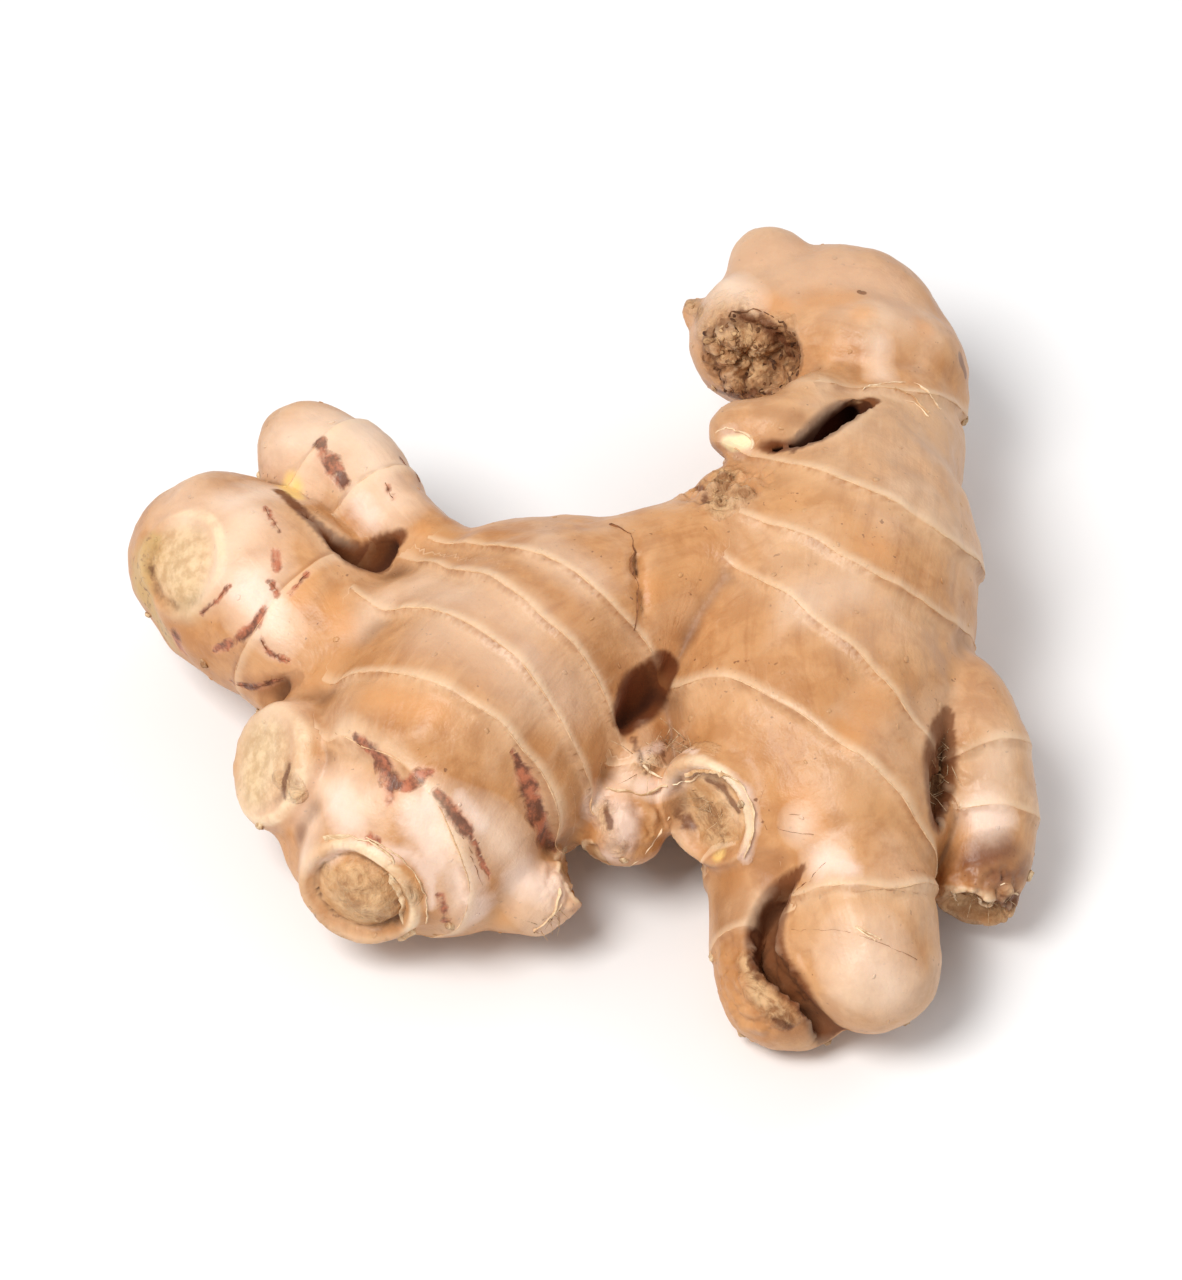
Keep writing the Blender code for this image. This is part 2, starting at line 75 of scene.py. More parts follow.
# The lobes: how each one ends, and its stations with x, y, z of the middle, half width, half height
LOBES = {
    "trunk": ("round", [(41.5, 48, 21, 11.5, 13), (40.5, 36.5, 21, 13.2, 14), (36.5, 26, 22, 17, 18),
        (35, 14, 22.5, 20, 19.5), (33, 1.5, 22.5, 20.8, 20), (30.5, -14, 21.5, 20, 19),
        (32.5, -26.5, 19, 17, 16.5)]),
    "head": ("round", [(43.5, 50, 21, 12.2, 13.5), (39.5, 56, 22.5, 12.6, 13.4),
        (32, 57.5, 23.5, 11.8, 12.2), (26.2, 56, 23.5, 11.4, 12)]),
    "head_heel": ("round", [(37, 38, 14, 12, 12.5), (39, 50, 12.5, 11.5, 12)]),
    "head_cheek": ("round", [(34, 50.5, 25.5, 10, 11), (40, 48.5, 26.5, 10.5, 11.8),
        (45, 49, 25.5, 9, 10)]),
    "head_peak": ("round", [(28, 58, 24, 9, 9.5), (25.8, 64.6, 29, 6.4, 6.6)]),
    "head_tip": ("round", [(20, 58, 24, 5, 5), (15.3, 60.6, 24.6, 2.6, 2.4)]),
    "head_knob": ("round", [(34.7, 37.6, 31, 4.6, 4.6), (31.4, 31.8, 34.8, 4.9, 4.7),
        (28.2, 27.4, 36.8, 5, 4.8), (24.4, 26, 37.4, 4.8, 4.6), (20.4, 27, 36.2, 4.5, 4.3)]),
    "dry_lump": ("round", [(26, 14, 29, 7, 7), (20.2, 17.5, 31, 5.6, 5.8)]),
    "foot": ("round", [(34, -21, 20, 16, 15.5), (35.6, -34, 18.5, 11.4, 12),
        (36.2, -41.5, 17.5, 10.4, 10.8), (37, -47.5, 16.6, 10.6, 11), (37.8, -51, 15.6, 9.7, 10.2)]),
    "foot_back": ("round", [(30, -23, 17, 14.5, 14.5), (26.5, -37, 12, 10.4, 11),
        (27, -49.5, 9.8, 9.8, 9.8)]),
    "knob": ("flat", [(44.5, -6.5, 19, 11, 12), (51, -15.5, 17.5, 9.6, 10.5), (54.4, -25, 15, 7.8, 8.5),
        (54, -32.5, 12.8, 6.8, 7.2), (52.8, -37.6, 11.4, 5.8, 6.2)]),
    "arm": ("round", [(25, 8.5, 22.5, 14.5, 18), (9, 3.5, 23.5, 14.3, 17), (-7.5, -6.5, 23, 19, 19),
        (-18.5, -21, 21, 20, 20), (-22, -29, 19, 16.5, 16)]),
    "arm_back": ("round", [(-2, 4, 22.5, 13.5, 16.5), (-13, 1.2, 22, 14.5, 16.5),
        (-23, -4, 21.5, 13, 14.5)]),
    "arm_side": ("round", [(-28, -22, 15, 11, 11), (-34.4, -30, 14.5, 8.6, 8.6)]),
    "upper_finger": ("round", [(-16.5, 3, 24, 10.5, 12), (-27.2, 15.2, 25.5, 7, 9.4),
        (-34.2, 25, 26, 8.2, 9.2), (-40.6, 31.2, 26, 7.4, 7.8)]),
    "left_finger": ("round", [(-29.5, -8.5, 20.5, 13, 13), (-41.5, 4, 22, 13.6, 13.6),
        (-49.2, 11.4, 22, 13.6, 13.8), (-53.2, 15.4, 22, 12.4, 12.6)]),
    "left_scar": ("flat", [(-46.5, 8.5, 20, 11, 11), (-52, 9, 24.5, 9.8, 10.2), (-55, 8, 27.7, 8.2, 9)]),
    "cut_finger": ("flat", [(-30.5, -18, 14.5, 12, 12), (-37.5, -21, 19, 10.4, 10.2),
        (-42.6, -23, 22.6, 9.2, 9)]),
    "tip_stub": ("flat", [(-27, -25.5, 15, 13, 13), (-29.6, -34, 16.6, 10.8, 10.6),
        (-30.8, -39.2, 17.8, 9.6, 9.2)]),
    "nub": ("flat", [(-17, -27, 16, 11.5, 11.5), (-10.8, -34.8, 13.8, 7.8, 8),
        (-6.8, -36.8, 13.2, 6.2, 6.4), (-3.6, -36.4, 14.2, 4.4, 4.2)]),
    "stub_left": ("round", [(5, -7.5, 20, 8, 9), (5, -22.5, 18.5, 7, 7.5), (4.5, -30, 17.5, 6, 6)]),
    "stub_right": ("flat", [(27, -17, 19, 10, 10), (21.5, -26.5, 22, 9.4, 9.4),
        (17, -31.5, 24, 8.6, 8.6)]),
}

# Hollows cut into the fused lobes, with the same kind of stations
HOLLOWS = {
    "head_scar": [(17.8, 46.3, 28.5, 4.6, 4.8), (22, 45.6, 29.5, 5.8, 6), (26.6, 46, 31, 3.4, 3.8)],
    "head_crevice": [(21, 24, 31.5, 0.7, 2.5), (25, 21.4, 34.8, 0.9, 3.2), (29.4, 20.8, 36.8, 1.2, 4),
        (33.2, 23.8, 37.8, 2, 5), (36.6, 28.2, 37.6, 1.6, 4.2), (39.4, 31.2, 36.8, 0.7, 2.4)],
    "head_undercut": [(30.4, 24.4, 31.8, 1.1, 2.8), (33.4, 27.2, 32.8, 1.7, 3.8),
        (36.6, 31.4, 32.6, 1.2, 3.2)],
    "arm_crack": [(2.6, 6.6, 38.6, 0.6, 1.4), (5.4, 4, 39.6, 0.8, 1.8), (6, -0.5, 40.2, 0.9, 2.2),
        (7, -6, 39, 0.8, 2.2), (6.8, -11, 36.5, 0.7, 2)],
    "arm_gap": [(4.2, -19.4, 28.6, 1.5, 3), (6.8, -16.2, 29.4, 2, 4.6), (10, -12.6, 31.2, 1.2, 2.6)],
    "foot_crease": [(29.3, -42.8, 24, 0.6, 1.6), (25.6, -44.4, 21, 1.5, 4),
        (23.6, -48.4, 18.6, 1.9, 4.8), (24.2, -52.6, 15.6, 1.8, 4.6), (28, -56.2, 12, 1.5, 3.8),
        (32.4, -58, 8.6, 1, 2.6)],
    "knob_slit": [(48.8, -19, 28.6, 0.5, 1.8), (48, -22.5, 27.8, 1.4, 4.5), (47.2, -28, 26, 2, 5.5),
        (46.6, -33, 23.6, 1, 3.2)],
    "finger_crease": [(-43.6, 17.8, 31.2, 0.6, 2), (-40.6, 13.4, 32.2, 0.8, 2.6),
        (-37, 9.4, 33.2, 0.9, 3.2), (-32.5, 7.2, 31.8, 2.6, 5.6), (-27, 9.2, 31.8, 0.9, 2.4)],
    "left_crease": [(-48, -10.5, 21, 0.8, 2), (-44, -11.5, 25, 0.9, 2.1), (-40.5, -12, 28.4, 0.6, 1.3)],
}

# Edges of the old leaf sheaths, each given by three points that its plane passes through
SHEATH_EDGES = [
    ("trunk", (38.5, 34.2, 36.5), (45.6, 35.8, 34.5), (51.8, 39.6, 28)),
    ("trunk", (24.8, 17.5, 41), (38.2, 9.2, 42), (51, 7.5, 32.2)),
    ("trunk", (24.8, 4.3, 40.9), (37, -3.2, 41.6), (52.3, -3.2, 27.1)),
    ("trunk", (20.4, -1.8, 38.7), (35.6, -16.5, 39.6), (43.5, -23.3, 32.8)),
    ("trunk", (13.2, -15.2, 30.7), (28.6, -25.9, 36.9), (42.4, -35.4, 28.9)),
    ("foot", (28.3, -45.4, 22.9), (36.2, -47.7, 27.2), (45.3, -44.7, 23.3)),
    ("arm", (-7.3, -2, 39.8), (1.1, -7.4, 39.8), (1.1, -7.4, 29.8)),
    ("arm", (-26.5, 6.6, 30.3), (-11.2, -8.1, 41.8), (0, -18.8, 36)),
    ("arm", (-31.5, -2.5, 34), (-17.9, -13.1, 41), (-3.3, -26.2, 33.8)),
    ("arm", (-35.7, -14.3, 30.5), (-19.7, -24.2, 39.5), (-4.9, -33.2, 19)),
    ("arm", (-39.6, -21.2, 27.8), (-22.5, -34.6, 34.9), (-15.8, -44.1, 23.4)),
]

# Lobes that carry on the rings of another
SAME_SKIN = {"arm": ("arm", "arm_back", "arm_side"), "trunk": ("trunk", "dry_lump", "head_cheek")}
# Edges square to a lobe, by their distance along it, and how strong they are
COLLARS = [
    ("left_finger", 15, 0.35), ("upper_finger", 22, 0.6), ("upper_finger", 32, 0.5),
    ("stub_left", 17, 0.6), ("knob", 16, 0.5), ("knob", 24, 0.5),
    ("foot_back", 14, 0.6), ("foot_back", 24, 0.5),
]
# A sheath edge: how high it stands, how far the skin swells up to it, and how fast it drops, in
# millimetres
EDGE_RISE = 0.70
EDGE_REACH = 3.5
EDGE_DROP = 0.7
# How far the skin between two edges differs in lightness from its neighbours, in turn
LENGTH_TONES = (1.0, -0.8, 0.5, -1.0, 0.7)
# Scars where fingers broke off: how deep the face lies, how high its rim stands, how far the core in
# the middle rises again, the side where the lip is thick and pale, how pale its far side stays, and
# the side where its groove is dark
SCARS = {
    "left_scar": (0.5, 0.4, 0.7, (0.9, 0.4, 0.2), 0.15, (-0.6, -0.5, -0.6)),
    "cut_finger": (0.3, 0.2, 0.6, (-0.5, -0.6, 0.6), 0.1, (0.9, -0.3, -0.2)),
    "tip_stub": (1.6, 0.9, 3.4, (0.8, 0.1, 0.6), 0.1, (0.9, -0.2, -0.2)),
    "stub_right": (2.0, 0.7, 0.0, (0.7, 0.3, 0.6), 0.1, (-0.8, 0.3, 0.3)),
    "knob": (1.4, 0.5, 0.2, (0.0, 0.3, 1.0), 0.3, (0.7, 0.0, 0.7)),
    "nub": (0.6, 0.4, 0.3, (0.5, 0.0, 0.8), 0.5, (0.0, 0.0, -1.0)),
}
# Lump of healed tissue in the old scar on the head: middle, reach and height
HEALED = ((21.5, 48.8, 28.2), 5.2, 3.4)
# Lumps of the surface: size of the grain in millimetres and how far it moves the skin, and the lobes
# where they are stronger
LUMPS = [(19.0, 0.9), (8.0, 0.35)]
ROUGH = {"head": 1.5, "head_heel": 1.2, "nub": 1.6, "stub_left": 1.2}
# Low ripples and pores, finer than the solid carries, in the same way
FINE_LUMPS = [(4.2, 0.16), (2.0, 0.07)]
# How strongly painted shade darkens the walls of each hollow
SHADED = {
    "head_scar": 0.12, "head_crevice": 0.95, "head_undercut": 1.0, "arm_crack": 0.0, "arm_gap": 0.95,
    "foot_crease": 0.8, "knob_slit": 0.75, "finger_crease": 0.85, "left_crease": 0.45,
}

# Strokes of colour on the skin, among them painted shade and painted highlights: points with a half width,
# in the frame of the lobes
MARKS = {
    "stain": [
        [(-31.9, -27.8, 34.6, 0.5), (-29.5, -30.1, 34.8, 0.9)],
        [(-29.5, -30.1, 34.8, 0.9), (-28, -31.7, 34.1, 1.2), (-26.9, -33.8, 32.9, 1.2),
         (-27.1, -36.1, 31.5, 0.7)],
        [(-26.9, -34.1, 32.8, 0.9), (-25.1, -35.1, 32.9, 0.7), (-23, -34.4, 34.8, 1),
         (-21.3, -34, 35.1, 0.5)],
        [(-20.7, -36.5, 33.6, 0.6), (-18.6, -38.4, 31.7, 1), (-16.7, -39.5, 29.4, 0.8)],
        [(-16.3, -39.9, 28.7, 0.4), (-14.7, -41.7, 25, 0.3), (-13.4, -42.4, 21.5, 0.2)],
        [(-10.3, -30.9, 35.8, 0.3), (-9.3, -32.2, 32.6, 0.7)],
        [(-9.3, -32.2, 32.6, 0.9), (-8.3, -33.7, 29.1, 1.2), (-7.3, -34.7, 25.6, 1.2)],
        [(-7.3, -34.7, 25.6, 1), (-6.3, -34.4, 20.6, 1.2), (-5, -33.9, 18.5, 0.7)],
        [(-20.4, -44.2, 21.3, 0.5), (-19.8, -44.9, 16.7, 0.7)],
        [(-29.8, -39.6, 27.6, 0.7), (-28.8, -40.1, 27.7, 0.5)],
        [(-38.5, 25.8, 34.6, 0.9), (-38.3, 24.9, 34.6, 0.7)],
        [(-37.9, 23.4, 34.2, 0.9), (-36.4, 21.5, 34.1, 1.4), (-35, 19.1, 33.7, 1)],
        [(-26.9, 25, 32.3, 0.3), (-24.2, 22.1, 30.3, 0.3)],
        [(-28.9, 18, 35, 0.3), (-27.8, 15.4, 34.7, 0.3)],
        [(-58.2, 1.1, 21.8, 1), (-57.4, 0.8, 18.8, 0.9)],
        [(-54.5, -0.3, 27.8, 0.3), (-51.9, -0.2, 30.9, 0.3), (-50.1, 0.8, 32.9, 0.3)],
        [(-52.4, -3.5, 24, 0.5), (-49, -5, 28, 0.7), (-46.5, -4.9, 31.1, 0.9), (-45.1, -3.3, 33, 0.5)],
        [(-43.9, 4.7, 35.3, 0.7), (-43.5, 2, 34.7, 0.5)],
        [(-44.5, 0.5, 34.3, 0.3), (-43, -2.5, 34.2, 0.3)],
        [(-41.6, -2.3, 34.4, 0.3), (-38.9, 1.5, 35.2, 0.3)],
        [(-45.5, 12.6, 35.8, 0.5), (-43.3, 8.3, 35.9, 0.3)],
        [(-45.8, -6.7, 30, 0.5), (-44.4, -8.2, 29.1, 0.5), (-41.6, -9.9, 29, 0.3)],
        [(-50.5, -5, 19.3, 0.3), (-47.4, -8.6, 22, 0.5), (-42.7, -10.7, 25.9, 0.5)],
    ],
    "bruise": [
        [(51, -36.5, 18.2, 1.8), (54, -35.8, 19.1, 2.2), (56.8, -34.8, 18.9, 2)],
        [(52, -36.6, 17.5, 1.6), (55.4, -38.3, 16.3, 2.2), (59, -35.6, 15.5, 1.8)],
        [(6.7, -13.2, 37.6, 0.8)], [(-39.5, -33.6, 20.5, 1.2)],
    ],
    # Pale torn tissue, and pale patches of painted highlight on lit skin
    "pale": [
        [(-22.2, -36.6, 33, 1.4), (-21.8, -39, 30.8, 1.8)],
        [(-17.5, -36.6, 32.6, 1), (-14.6, -38.6, 29.4, 1)],
        [(-24, -37.9, 31, 2.4), (-22, -39.6, 29.5, 2.6), (-20.7, -42.2, 25.7, 2.1)],
        [(-34.4, -33.6, 28.4, 2.4), (-32.6, -37.3, 27.5, 2.1)],
        [(-18, -42.9, 23.8, 2.4), (-15.8, -44.5, 17.5, 2.4)],
        [(-9.8, -40.3, 20.5, 2.1), (-6.3, -40.2, 18.1, 2.4), (-3.6, -37, 15, 1.4)],
        [(-47.6, -0.1, 33.4, 2.4), (-44.4, -3.9, 33.1, 2.1), (-46.1, -5.1, 31.3, 1.4)],
        [(-32.8, 15.6, 33.9, 2.1), (-31, 12.6, 33.2, 1.8)],
        [(-29.1, -41.1, 27, 1.2), (-24.1, -41.8, 26.8, 1), (-21.6, -43.3, 23.8, 0.9),
         (-21.5, -45, 19.5, 0.7)],
        [(-35.8, -39.4, 22.1, 0.9), (-33.3, -39.7, 25.8, 0.9), (-29.1, -39.9, 27.7, 0.7)],
        [(0.9, -29.9, 23.7, 2.1), (4.6, -33.4, 22.6, 2.1), (2.9, -34.6, 17.6, 1.8)],
        [(8, -28, 24, 1.4), (12.3, -28.5, 25.2, 1.4)],
        [(12.8, -28.5, 27.4, 0.9), (17.2, -31.2, 31.3, 0.9), (20.8, -33.5, 30.3, 0.9),
         (22, -36.8, 27, 0.9), (20.8, -38.8, 22.3, 0.7)],
        [(31.4, -43.7, 27.6, 2.1), (34.7, -45.5, 28.5, 1.4)],
        [(53.4, -30.7, 21.9, 2.1), (55.8, -32, 20.8, 2.1)],
        [(19.8, 23.4, 37.8, 1.6), (21.2, 22.6, 37.6, 1.4)],
        [(6.7, -24.6, 26.3, 0.7), (9.8, -21.5, 25.2, 0.7), (14.1, -27.1, 30.5, 0.5)],
    ],
    # Painted shade, dark brown, in cavities, pits and cracks
    "cave": [
        [(29.8, 21.6, 38.6, 0.6), (26.6, 20.6, 37.2, 0.8), (23.4, 21.4, 35.6, 0.7)],
        [(-28.2, -42.6, 21.4, 0.7), (-27.2, -43, 19.4, 0.9), (-27, -43.3, 17.6, 0.6)],
        [(-29.4, -42, 20, 0.6)], [(50.5, -39, 12.6, 1.2), (53.6, -39.6, 9.5, 1.4)],
        [(56, -39.6, 13.5, 1.5), (58.4, -38.6, 12.5, 1.2)],
        [(21.5, 51.4, 33.7, 0.8), (24.3, 50.5, 33.6, 1), (26.9, 49.7, 31.3, 1.1),
         (28.7, 48.3, 28.5, 1.1)],
        [(18.4, 49.4, 19.9, 0.8), (21.3, 46.6, 21.3, 0.8), (23.7, 45.8, 23.3, 0.6)],
        [(17.2, 50.6, 29.3, 0.5), (18, 49.3, 25.3, 0.5)],
        [(22.2, 48.5, 28.3, 0.5), (23.7, 47.9, 25.7, 0.5)],
        [(54.4, -37.8, 11, 1.3), (56.8, -39.4, 14.8, 1.1)], [(50.9, -37.6, 12.4, 0.8)],
        [(15.3, 17.6, 34.9, 0.9), (15.8, 9.7, 40.1, 0.6)], [(19.6, 12.2, 39.9, 0.5)],
        [(-41, -27.1, 27.8, 0.5), (-41.9, -28.2, 25.9, 0.5), (-41.7, -30.2, 24.6, 0.5)],
        [(-26.2, -44.3, 19.5, 0.6)], [(12.1, -29.9, 20.4, 0.8), (13.9, -31, 19.6, 0.8)],
        [(15.8, -29.4, 27.4, 0.5), (18.2, -31.1, 27.4, 0.6), (19.9, -33.2, 25.7, 0.5)],
        [(5.8, -21.9, 26.8, 0.5), (6.7, -24.5, 26.3, 0.6), (7.5, -26.2, 25.1, 0.5)],
        [(9.8, -22.6, 25, 0.5), (10.7, -26.7, 27.3, 0.5)],
        [(2, -30.7, 23.4, 0.5), (2.6, -33.5, 22.2, 0.5)],
        [(24.7, -58.8, 12.7, 0.5), (26.8, -59.4, 11.5, 0.5)],
        [(21.4, -52.7, 17.2, 0.5), (22.4, -54.6, 16.4, 0.5)],
        [(47.3, -23.3, 26.9, 0.5), (46.7, -25.7, 24.4, 0.6)],
        [(29.3, 22.7, 39.7, 0.6), (28.1, 18.6, 40.5, 0.6)],
    ],
    # Painted shade, brown, on undersides, creases and ends turned from the light
    "painted_soft_shade": [
        [(-28.4, -42.6, 21.4, 1.6), (-27.4, -43, 17.8, 1.6)],
        [(19, -39.5, 18.8, 2.5), (19.8, -45.1, 18.4, 2.5), (21.4, -49.2, 17.6, 1.7)],
        [(23.2, -41.3, 21.8, 1.9), (24.5, -43.4, 21.1, 1.4)],
        [(17.4, -40.7, 15.4, 1.7), (18.4, -47.8, 16.8, 1.7)],
        [(26.1, -58.9, 12.8, 1.7), (29.9, -58.8, 9, 1.4)],
        [(24.8, -40.6, 23.5, 1.7), (21.5, -38.9, 22.5, 1.2)],
        [(4.6, -31.9, 23.4, 1.7), (5.5, -35, 20.2, 1.2)],
        [(15.2, -30, 23.8, 1.7), (17.2, -32.5, 21.5, 1.9)],
        [(49, -37.3, 16.5, 1.2), (50.1, -36.6, 8.9, 1.2)],
        [(50, -38.8, 10.5, 3.2), (56.5, -39.8, 10.5, 3.2)],
        [(-42, -12.1, 25.7, 1.7), (-47.4, -8.5, 22.4, 1.2)],
        [(23.7, 25.8, 41.4, 1.2), (29.3, 24.6, 40.7, 1.2)],
        [(-0.5, -31.2, 22.6, 1.1), (0.5, -33.2, 16.8, 1.1)],
    ],
    # Paler tips of the fingers, and broad patches of painted highlight on lit skin
    "tip": [
        [(-9, -40.8, 19, 3), (-5.5, -41.8, 14, 3)],
        [(-48, 9, 35.5, 4.5), (-52, 3, 32.5, 4), (-46, 2, 34.5, 3.5)], [(-56, 16, 30, 4)],
        [(-57, 12, 33, 3), (-53, 2, 31, 2.6)], [(-21.5, -38.6, 31.4, 2.4), (-19.4, -40.6, 28.6, 2.2)],
        [(-42.7, 28.3, 32.9, 4), (-32.3, 25.9, 35, 4.5), (-28.2, 15.4, 34.7, 3.6)],
        [(-35.8, -31.2, 27.6, 3.1), (-30.9, -35.9, 29.9, 3.1)],
        [(-21.5, -38, 31.8, 3.1), (-14, -38.2, 28.7, 2.7), (-9, -39.5, 20.8, 2.7)],
        [(-21.5, -37.3, 33, 2.3), (-20.7, -38.9, 30.9, 2.3)],
        [(36.2, -56.5, 23.7, 4.5), (40.4, -59.1, 20.2, 3.6)], [(31.4, -43.3, 27.7, 2.7)],
        [(19.7, 57.5, 33.5, 2.5), (22.9, 53.5, 34.6, 2.1)],
        [(41.1, 43.3, 36, 1.6), (41.4, 38.7, 34.7, 1.8)],
        [(-51.2, 2, 33.1, 2.7), (-47.9, -1.7, 32.1, 3.1), (-43.3, -6.3, 31.4, 2.7)],
        [(-44.2, -20.8, 26, 4.5), (-44.7, -26.1, 23, 4.5)],
        [(53.8, -30.7, 21.9, 2.7), (54.1, -33.5, 20.5, 1.8)], [(-42, 20, 33, 3), (-50, 14, 35, 3)],
        [(14.8, -29.2, 29.7, 1.2), (19.9, -33.8, 24.5, 1.2)], [(28.1, -38.5, 29.1, 2.1)],
        [(-38, -32.8, 23.2, 2.7), (-38.7, -39.2, 21.8, 1.8)],
        [(4.6, -27.5, 24.7, 1.6), (8, -28.3, 23.8, 1.3)],
    ],
    "disc": [
        [(-44.8, -21.8, 23.5, 4.5), (-45.8, -25, 20.8, 3.1)],
        [(-57.1, 6.7, 30.3, 4.5), (-56.3, 3.9, 28.8, 3.5)],
    ],
    "scar": [
        [(50, -38.8, 9, 2.6), (57, -39.8, 9, 2.6)], [(2, -31, 22.5, 1.5), (3.5, -33.5, 19.5, 1.6)],
        [(8.2, -24.9, 25, 1.2), (11.7, -24.3, 27, 1.3), (17, -27.3, 30.5, 1)],
        [(21, 50, 29.4, 5), (22.7, 49.1, 25.4, 4), (25.9, 48.5, 29.5, 4)],
        [(-30.7, -41.8, 20.7, 3.5), (-29.4, -42.5, 17.2, 3.1)], [(-24.8, -44.8, 22.4, 1.6)],
        [(16.9, -31.5, 22.9, 2.4), (17.6, -33.6, 20.7, 2.1), (14.8, -30.3, 24.1, 1.4)],
        [(48.2, -20.3, 25.4, 1), (47.9, -24.4, 22.2, 1.4), (46.7, -29, 20.8, 1)],
        [(18.7, 17.9, 36.6, 2.1), (17.5, 8.8, 40.6, 1.8), (21.3, 10.5, 40.8, 1.4)],
        [(-41, -27.6, 27.3, 1), (-40, -30.8, 25.9, 1), (-42.5, -26.8, 24.7, 0.9)],
        [(-35.8, -39.5, 21, 0.9), (-34.5, -40, 17.9, 0.9)],
        [(49.8, -38.5, 13.6, 1.6), (53, -38.1, 10.9, 1.6), (56.8, -39, 15.3, 1.2)],
        [(15.8, 56.1, 28.7, 1), (14.6, 60.4, 26.3, 1)],
        [(21.4, -52.7, 17.2, 1.4), (23, -56.5, 15, 1.6), (26.4, -59, 12.7, 1.2)],
    ],
    "cream": [
        [(19.2, 22.6, 37.6, 1.5), (21.6, 22.2, 38.8, 1.2)],
    ],
    "olive": [
        [(-61.9, 11, 28.5, 2.6), (-63.2, 8.7, 23.1, 2.8), (-59.7, 3.5, 17.8, 2.4)],
    ],
    "bud": [
        [(-42.8, 22, 30.4, 1.6), (-41.7, 18.1, 32.1, 1.4)], [(17.5, -36.2, 19.6, 1)],
    ],
    "ochre": [
        [(-35.3, -4.4, 34.2, 2.1), (-34.3, -6.9, 33.4, 1.8)], [(-23.2, 9.4, 34.6, 1.4)],
        [(28.1, -35.8, 31.2, 2.4), (29.8, -38.8, 29.4, 2.1)], [(39, -0.5, 41.8, 2.1)],
        [(8.1, -4.5, 38.6, 2.1)], [(38.9, 48.1, 37.7, 1.8)],
        [(-40.5, -3, 34.4, 2), (-39.5, 1, 35.3, 1.8)], [(32.7, 52.7, 36, 2.6), (37, 52, 36.5, 2.2)],
        [(24, 53, 35, 1.8), (28, 52, 35.4, 1.6)], [(48, 48, 34.6, 1.6)],
        [(-29.3, -22.7, 37.7, 2.4), (-20.7, -27.7, 39.8, 2.1)],
        [(38.5, -22.6, 36.3, 2.8), (34.9, -28.9, 36, 2.4)],
    ],
    # A greyish-lilac bloom, and on the head pinkish patches of painted highlight
    "lilac_bloom_and_highlight": [
        [(-19, -15, 40.5, 5), (-9, -21, 40, 5), (-2.5, -22.5, 36.5, 4)],
        [(18, 58, 31, 6), (24, 62, 32, 7), (34, 58, 35.5, 7), (43, 51, 35.5, 6)], [(27, 66, 31, 5)],
        [(-22.9, -3, 36.8, 3.5), (-15.8, -9.6, 41.9, 3.8), (-9, -14.1, 42, 3.5)],
        [(-5.7, -1.2, 42.6, 3.1), (-0.5, -5.3, 42.1, 2.8)],
        [(-31.5, -7, 33.5, 2.4), (-28.1, -4, 35.3, 2.1)],
        [(54.1, -29.3, 23, 2.1), (56, -22.5, 25.4, 2.1)],
        [(-38.7, 32.7, 33.4, 2.4), (-32.4, 29.8, 33.9, 2.1)],
        [(28.5, -9.2, 41.4, 3.1), (35.4, -6.6, 41, 2.8)],
        [(-52.1, 14.7, 34.9, 2.1), (-47.6, 11.6, 35.8, 2.1)],
        [(-9, -18.3, 41.7, 2.8), (-5.6, -24.1, 38.2, 2.4)],
    ],
    "dots": [
        [(22.3, -34.5, 29.4, 0.3)], [(22.8, -35.5, 28.6, 0.3)], [(23.1, -36.7, 27.4, 0.3)],
        [(24.1, -34.8, 29.8, 0.3)], [(39.1, 53.7, 35.9, 0.7)], [(38.2, 49.3, 37.5, 0.3)],
        [(53.2, 47.3, 29.1, 0.9), (54.1, 46.7, 26, 0.7)],
    ],
}
# Raised torn edges and folds of thin skin: thickness and a path on the skin
RIMS = [
    (0.7, [(35.5, -53, 25.4), (37.9, -54.9, 24.9)]),
    (1.2, [(-3.9, -41.3, 15.5), (-5.6, -42.8, 14.1), (-7.7, -43.2, 12.2)]),
    (0.8, [(4.6, -33.9, 14.4), (7, -34.1, 17.4), (9.1, -32, 19.8), (10.4, -30.3, 20.4)]),
    (1.1, [(17.8, 25.1, 37.5), (19.2, 24.8, 38.7), (21.2, 23.8, 39.2), (23, 22.8, 38.5),
          (23.4, 22.7, 36.5)]),
    (0.8, [(38.5, 33.9, 37.1), (42.5, 36.8, 35.2), (45.8, 38.1, 33.7), (48.4, 36.8, 32.5),
          (49.9, 36, 30.3)]),
    (1.1, [(44.2, 34.3, 34.8), (46.4, 34.2, 33.3), (47.8, 32.4, 32.6)]),
    (0.9, [(7, -25.6, 25.9), (9.7, -27.1, 25), (12.8, -28.5, 25.8), (14.8, -29.1, 28.1)]),
    (1.4, [(49.3, -39.2, 15.6), (50.7, -37.4, 9.3)]),
    (1.4, [(51.8, -39, 14.2), (54.1, -38.1, 9.7), (55.2, -39.3, 13)]),
    (1.3, [(55.7, -39, 16.5), (58.4, -37.8, 12.7)]),
]
# Broad flat flaps of dry skin, in the same way
FLAPS = [
    (1.5, [(12.8, -28.5, 27.4), (17.2, -31.2, 31.3), (20.8, -33.5, 30.3), (22, -36.8, 27),
          (20.8, -38.8, 22.3)]),
    (1.6, [(2, -28.6, 24.6), (6.4, -29.4, 25.4), (10.4, -28.6, 25)]),
    (1.5, [(-3.9, -40.3, 17.5), (-5.6, -42.8, 14.1)]),
    (1.2, [(43.2, 35.3, 36.4), (46.4, 34.8, 34.3), (48.4, 33.4, 33)]),
    (1.2, [(35.5, -53, 25.6), (38.5, -54.6, 24.9)]),
]
# Flaps that stand along the rim of a scar: lobe, thickness, part of its radius, and first and last
# angle, from its side over its top
RIM_FLAPS = [("tip_stub", 2.6, 0.86, 55, 235), ("tip_stub", 1.6, 0.94, 95, 200)]
